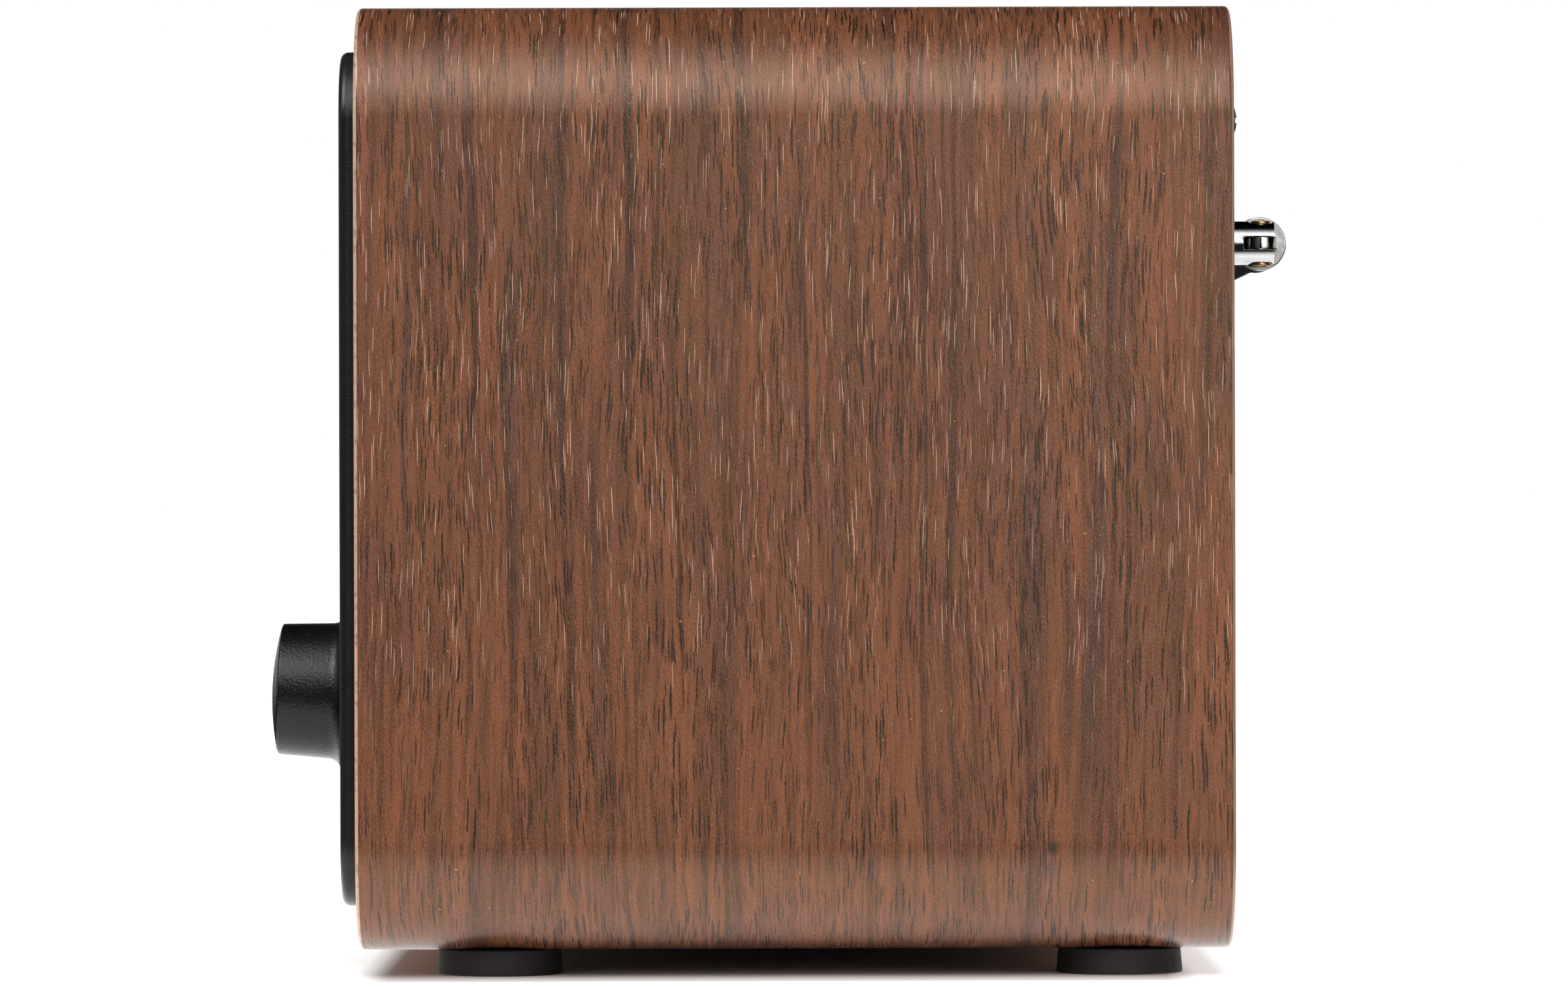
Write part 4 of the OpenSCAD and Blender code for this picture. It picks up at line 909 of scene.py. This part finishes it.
def make_knob():
    """The turned knob: a crowned face, a crisp rim, a tapered side and a flared foot."""
    bm = bmesh.new()
    # Radii, and heights over the panel's face, in millimetres
    dome, rim, body, foot = 44.0, 10.4, 10.9, 13.2
    face, crown = 11.7, 1.25
    profile = []
    for step in range(13):
        radius = (rim - 0.55) * step / 12
        profile.append((face + crown - dome + math.sqrt(dome * dome - radius * radius), radius))
    profile += [(face + 0.06, rim - 0.42), (face + 0.02, rim - 0.3), (face - 0.04, rim - 0.16),
                (face - 0.16, rim - 0.05), (face - 0.35, rim)]
    flare, lip, undercut = foot - body, 1.4, 0.12
    base = lip + flare
    profile.append((base, body - undercut))
    for step in range(1, 13):
        angle = QUARTER * step / 12
        radius = foot - flare * math.cos(angle) - undercut * (1 - step / 12)
        profile.append((base - flare * math.sin(angle), radius))
    profile += [(0.72, foot), (0.56, foot - 0.06), (0.5, foot - 0.22), (0.5, 8.5), (3.4, 8.5), (3.4, 3.1),
                (10.3, 3.1), (10.3, 0)]
    turned(bm, KNOB_AXIS, [(along * MM, radius * MM) for along, radius in profile], 128)
    finish_piece("knob_body", bm, "knob_plastic", "knob", "tuning_knob", sharp=BOLD_TURN)


# ---- feet ----

def make_feet():
    """Four round rubber feet that widen a little towards the floor."""
    bm = bmesh.new()
    low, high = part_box("feet")
    radius, neck, bore, recess, floor = 9.85 * MM, 9.5 * MM, 1.6 * MM, 4 * MM, 2.4 * MM
    profile = [(high.z, bore), (high.z, neck), (0, radius), (0, recess), (floor, recess), (floor, bore),
               (high.z, bore)]
    for x in (low.x + radius, high.x - radius):
        for y in (low.y + radius, high.y - radius):
            turned(bm, moved(x, y, 0), eased(profile, 0.3 * MM), 72)
    finish_piece("rubber_feet", bm, "foot_rubber", "radio", "feet")


# ---- back ----

def make_back_cover():
    """The flat back with its slots and holes, and the ledge that carries the stowed antenna."""
    bm = bmesh.new()
    ease, thick = 0.25 * MM, 3 * MM
    slots, slot_step, slot_width, slot_height, slot_rise = 9, 8 * MM, 3 * MM, 30 * MM, 8 * MM
    screw, jack, inlet, stud = 1.5 * MM, 3.9 * MM, 4.4 * MM, 2.6 * MM
    jack_in, socket_z = 5.5 * MM, 30.6 * MM
    _, wide, tall, _ = front_of("back_panel")
    facing_back = Matrix.Rotation(-QUARTER, 4, "X")
    back = moved(MIDDLE.x, BACK_FACE, MIDDLE.z) @ facing_back
    plate = slab(bm, back, (wide, tall), PANEL_CORNER, thick, 0.4 * MM, 0.1 * MM, steps=20)
    outside, inside = [plate.first], [plate.edges]

    def cut(x, z, size, corner=None):
        here = back @ moved(x - MIDDLE.x, MIDDLE.z - z, 0)
        hole = Outline(bm, here, size, corner, (0, -ease), 8).draw((ease, 0), (thick, 0))
        outside.append(hole.first)
        inside.append(hole.edges)

    for number in range(slots):
        across = (number - slots // 2) * slot_step
        cut(across, MIDDLE.z + slot_rise, (slot_width, slot_height), 1.49 * MM)
    for x, z in screw_places("back_panel_screws", BACK_SCREW):
        cut(x, z, screw)
    jacks_low, jacks_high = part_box("audio_jacks")
    for x in (jacks_low.x + jack_in, jacks_high.x - jack_in):
        cut(x, socket_z, jack)
    cut(middle_of("dc_jack").x, socket_z, inlet)
    pivot = middle_of("antenna_stud")
    cut(pivot.x, pivot.z, stud)
    fill(bm, *outside)
    fill(bm, *inside)

    ledge_wide, ledge_thick, ledge_x = 10 * MM, 2.5 * MM, -79.3 * MM
    ledge_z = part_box("mast_1")[0].z - 0.3 * MM - ledge_thick / 2
    ledge = moved(ledge_x, BACK_HIGH.y, ledge_z) @ facing_back
    reach = BACK_HIGH.y - BACK_FACE + thick / 2
    slab(bm, ledge, (ledge_wide, ledge_thick), 0.6 * MM, reach, 0.4 * MM, steps=4).close()
    finish_piece("back_cover", bm, "black_plastic", "radio", "back_panel")


# ---- antenna ----

def make_antenna():
    """The forked stud, the root, and five tubes that slide in one another."""
    softened("antenna_fork", "antenna_stud", 0.18 * MM, "chrome", "antenna_swivel")
    softened("antenna_pin", "hinge_pin", 0.12 * MM, "brass", "antenna_swivel")
    softened("antenna_root_end", "antenna_root", 0.22 * MM, "chrome", "antenna_base")
    axis = middle_of("mast_1")
    widest, step = 3.5 * MM, 0.6 * MM
    wall, gap, sleeve, tip_length = 0.4 * MM, 0.1 * MM, 11 * MM, 6 * MM

    # The tip's bead, by millimetres along it and shares of the widest radius
    tip = [(0, 1), (1.2, 1), (1.4, 0.93), (1.8, 0.93), (2.0, 1), (4.4, 1), (5.2, 0.9), (5.75, 0.62),
           (5.95, 0.3)]
    for number in range(1, 6):
        bm = bmesh.new()
        low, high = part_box(f"mast_{number}")
        radius = widest - (number - 1) * step
        length = high.x - low.x
        tail = [(0, radius)]
        if number > 1:
            tail = [(0, radius + gap), (sleeve, radius + gap), (sleeve, radius)]
        if number == 5:
            rod = length - tip_length
            profile = [(0, 0), *tail, (rod, radius)]
            profile += [(rod + along * MM, share * widest) for along, share in tip]
            profile.append((length, 0))
        else:
            bore, groove = radius - wall, radius - 0.08 * MM
            profile = [*tail, (length - 1.6 * MM, radius), (length - 1.3 * MM, groove),
                       (length - MM, groove), (length - 0.7 * MM, radius),
                       (length, radius - 0.03 * MM), (length, bore)]
            if number == 1:
                profile = [(0, 0)] + profile + [(0.8 * MM, bore), (0.8 * MM, 0)]
            else:
                profile = [(0, bore)] + profile + [(0, bore)]
        here = moved(high.x, axis.y, axis.z) @ Matrix.Rotation(-QUARTER, 4, "Y")
        turned(bm, here, eased(profile, 0.1 * MM), 48)
        body = "antenna_base" if number == 1 else f"stage_{number}"
        finish_piece(f"antenna_tube_{number}", bm, "chrome", body, f"mast_{number}")


def make_small_parts():
    """Screws and sockets at the back, with eased edges; the lower pair of screws has flatter heads."""
    screws = softened("back_screws", "back_panel_screws", 0.1 * MM, "black_steel", "radio")
    flatter = 0.9 * MM / (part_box("back_panel_screws")[1].y - BACK_FACE)
    for vert in screws.data.vertices:
        if vert.co.z < MIDDLE.z:
            vert.co.y = min(vert.co.y, BACK_FACE + (vert.co.y - BACK_FACE) * flatter)
    softened("power_socket", "dc_jack", 0.15 * MM, "dark_plastic", "radio")
    softened("audio_sockets", "audio_jacks", 0.15 * MM, "dark_plastic", "radio")


def make_surround():
    """The speaker's rubber roll in two rings that part at its crest, so the inner one goes with the cone."""
    here, wide, _, deep = front_of("cone_surround")
    place = here @ moved(0, 0, -deep)
    thick, gap, flange = 0.5 * MM, 0.03 * MM, 2.8 * MM
    outer, rim = wide / 2, front_of("speaker_cone")[1] / 2
    foot = outer - flange
    roll = (foot - rim) / 2
    crest = rim + roll
    outside, inside = roll + thick / 2, roll - thick / 2

    def arc(radius, side, first, last):
        turns = [math.radians(first + (last - first) * step / 8) for step in range(9)]
        return [(radius * math.sin(turn), crest + side * (radius * math.cos(turn) + gap))
                for turn in turns]

    for name, side, body, lip, level in (("surround_inner_roll", -1, "cone", rim - MM, 0.1 * MM),
                                         ("surround_outer_roll", 1, "radio", outer, 0.0)):
        bm = bmesh.new()
        over, under = arc(outside, side, 16, 90), arc(inside, side, 90, 4)
        profile = [(level, lip), (level + thick, lip), *over, *under, (level, crest + side * inside)]
        turned(bm, place, profile + [profile[0]], 72)
        finish_piece(name, bm, "gasket_rubber", body, "cone_surround")


def dress_frame():
    """Gives each CAD node that still shows the finish of its material slot."""
    for part in frame["record"]["subparts"]:
        for slot in frame["nodes"][part["node"]].material_slots:
            slot.material = FINISHES[part["material_slot"]]


# ---- studio ----

# How bright gloss sees the softbox, the far wall and the lit floor round the radio, and how much light
# that floor throws back on the rest
SOFTBOX, FAR_WALL, LIT_FLOOR, BOUNCE = 6.0, 1.0, 1.45, 0.65

# Degrees up from the camera's side where the softbox starts, is full, fades and ends, and where the
# far wall starts and is full
SOFTBOX_SPAN, FAR_WALL_SPAN = (2, 24, 26, 84), (158, 178)
FLOOR_REACH = 15


def outside_footprint(work, inset, reach, depth=60 * MM):
    """How far a floor spot lies outside a rectangle, from 0 at its inset edge to 1 at the reach.

    The rectangle is as wide as the cabinet and reaches so far to the front and back of its middle."""
    beyond = []
    for axis, half in (("X", SHELL_HIGH.x - inset), ("Y", depth - inset)):
        off = work.minus(work.math("ABSOLUTE", work.part(work.place(), axis)), half)
        beyond.append(work.math("MAXIMUM", off, 0.0))
    return work.span(work.length(*beyond), 0.0, reach)


def set_studio():
    """A white floor, two soft lamps on the camera's side, and a white sky that gloss sees as a softbox."""
    bpy.context.scene.view_settings.view_transform = "Standard"
    world = bpy.data.worlds.new("studio")
    bpy.context.scene.world = world
    world.use_nodes = True
    work = Tree(world.node_tree)

    # Gloss sees a dark studio with a pale far wall and a softbox over the camera. The softbox hangs
    # lower towards the back, and is brighter towards the front but faint straight ahead of it, so
    # that the top has no glare when it is seen from behind
    path = work.node("LightPath").outputs
    clear = work.math("MAXIMUM", path["Is Camera Ray"], path["Is Transmission Ray"])
    way = work.node("TexCoord").outputs["Generated"]
    height = work.math("DEGREES", work.math("ARCTAN2", work.part(way, "Z"), work.part(way, "X")))
    along = work.part(way, "Y")
    leaning = work.plus(height, work.times(work.math("MAXIMUM", along, -0.19), 95.0))
    box = work.within(leaning, *SOFTBOX_SPAN)
    key = work.plus(work.times(work.rise(along, -0.3, -0.6), 1.5), 1.0)
    faded = work.minus(1.0, work.times(work.rise(along, -0.6, -0.8), 0.85))
    gloss = work.times(work.times(work.times(box, key), SOFTBOX), faded)
    gloss = work.plus(gloss, work.times(work.rise(height, *FAR_WALL_SPAN), FAR_WALL))
    plain = work.times(work.minus(1.0, path["Is Glossy Ray"]), work.span(clear, 0.0, 1.0, 0.5, 1.0))
    work.give(world.node_tree.nodes["Background"], color=(1, 1, 1, 1),
              strength=work.plus(plain, work.times(gloss, path["Is Glossy Ray"])))

    mesh = bpy.data.meshes.new("floor")
    bm = bmesh.new()
    bmesh.ops.create_grid(bm, x_segments=1, y_segments=1, size=FLOOR_REACH)
    bm.to_mesh(mesh)
    bm.free()
    floor = add_object("floor", mesh)
    work, shader = start_finish("white_floor")
    haze = work.noise(3.0, 2.0)
    path = work.node("LightPath").outputs
    # Close round the radio the floor glows for gloss and diffuse rays, a painted pool of light; further out
    # it shows dark grey to gloss rays, a painted dark surround in reflections
    beyond = outside_footprint(work, -20 * MM, 70 * MM, 90 * MM)
    pale = work.blend(haze, grey(242), grey(244))
    unseen = work.times(beyond, path["Is Glossy Ray"])
    work.give(shader, base_color=work.blend(unseen, pale, grey(40)), roughness=0.9, specular_ior_level=0.0,
              emission_color=(1, 1, 1, 1))
    clear = work.math("MAXIMUM", path["Is Camera Ray"], path["Is Transmission Ray"])
    near = work.times(outside_footprint(work, 0.0, 5 * MM), 0.55)
    far = work.times(outside_footprint(work, 0.0, 700 * MM), 0.3)
    white = work.times(clear, work.plus(near, far))
    pool = work.times(outside_footprint(work, 16 * MM, 10 * MM), work.minus(1.0, beyond))
    shine = work.times(path["Is Glossy Ray"], LIT_FLOOR)
    bounce = work.times(path["Is Diffuse Ray"], BOUNCE)
    work.give(shader, emission_strength=work.plus(white, work.times(pool, work.plus(shine, bounce))))
    floor.data.materials.append(FINISHES["white_floor"])

    def lamp(name, place, wide, high, power):
        data = bpy.data.lights.new(name, "AREA")
        data.shape = "RECTANGLE"
        data.size = wide
        data.size_y = high
        data.energy = power
        made = add_object(name, data)
        made.location = place
        made.rotation_euler = (MIDDLE - Vector(place)).to_track_quat("-Z", "Y").to_euler()
        made.visible_glossy = False

    lamp("overhead_softbox", (0.8, -0.1, 1.9), 2.2, 2.2, 32)
    lamp("side_softbox", (1.45, 0.35, 0.98), 0.9, 0.45, 2.5)


set_camera()
make_sleeve()
make_front_panel()
make_grille()
make_window()
make_buttons()
make_knob()
make_feet()
make_back_cover()
make_antenna()
make_small_parts()
make_surround()
dress_frame()
set_studio()
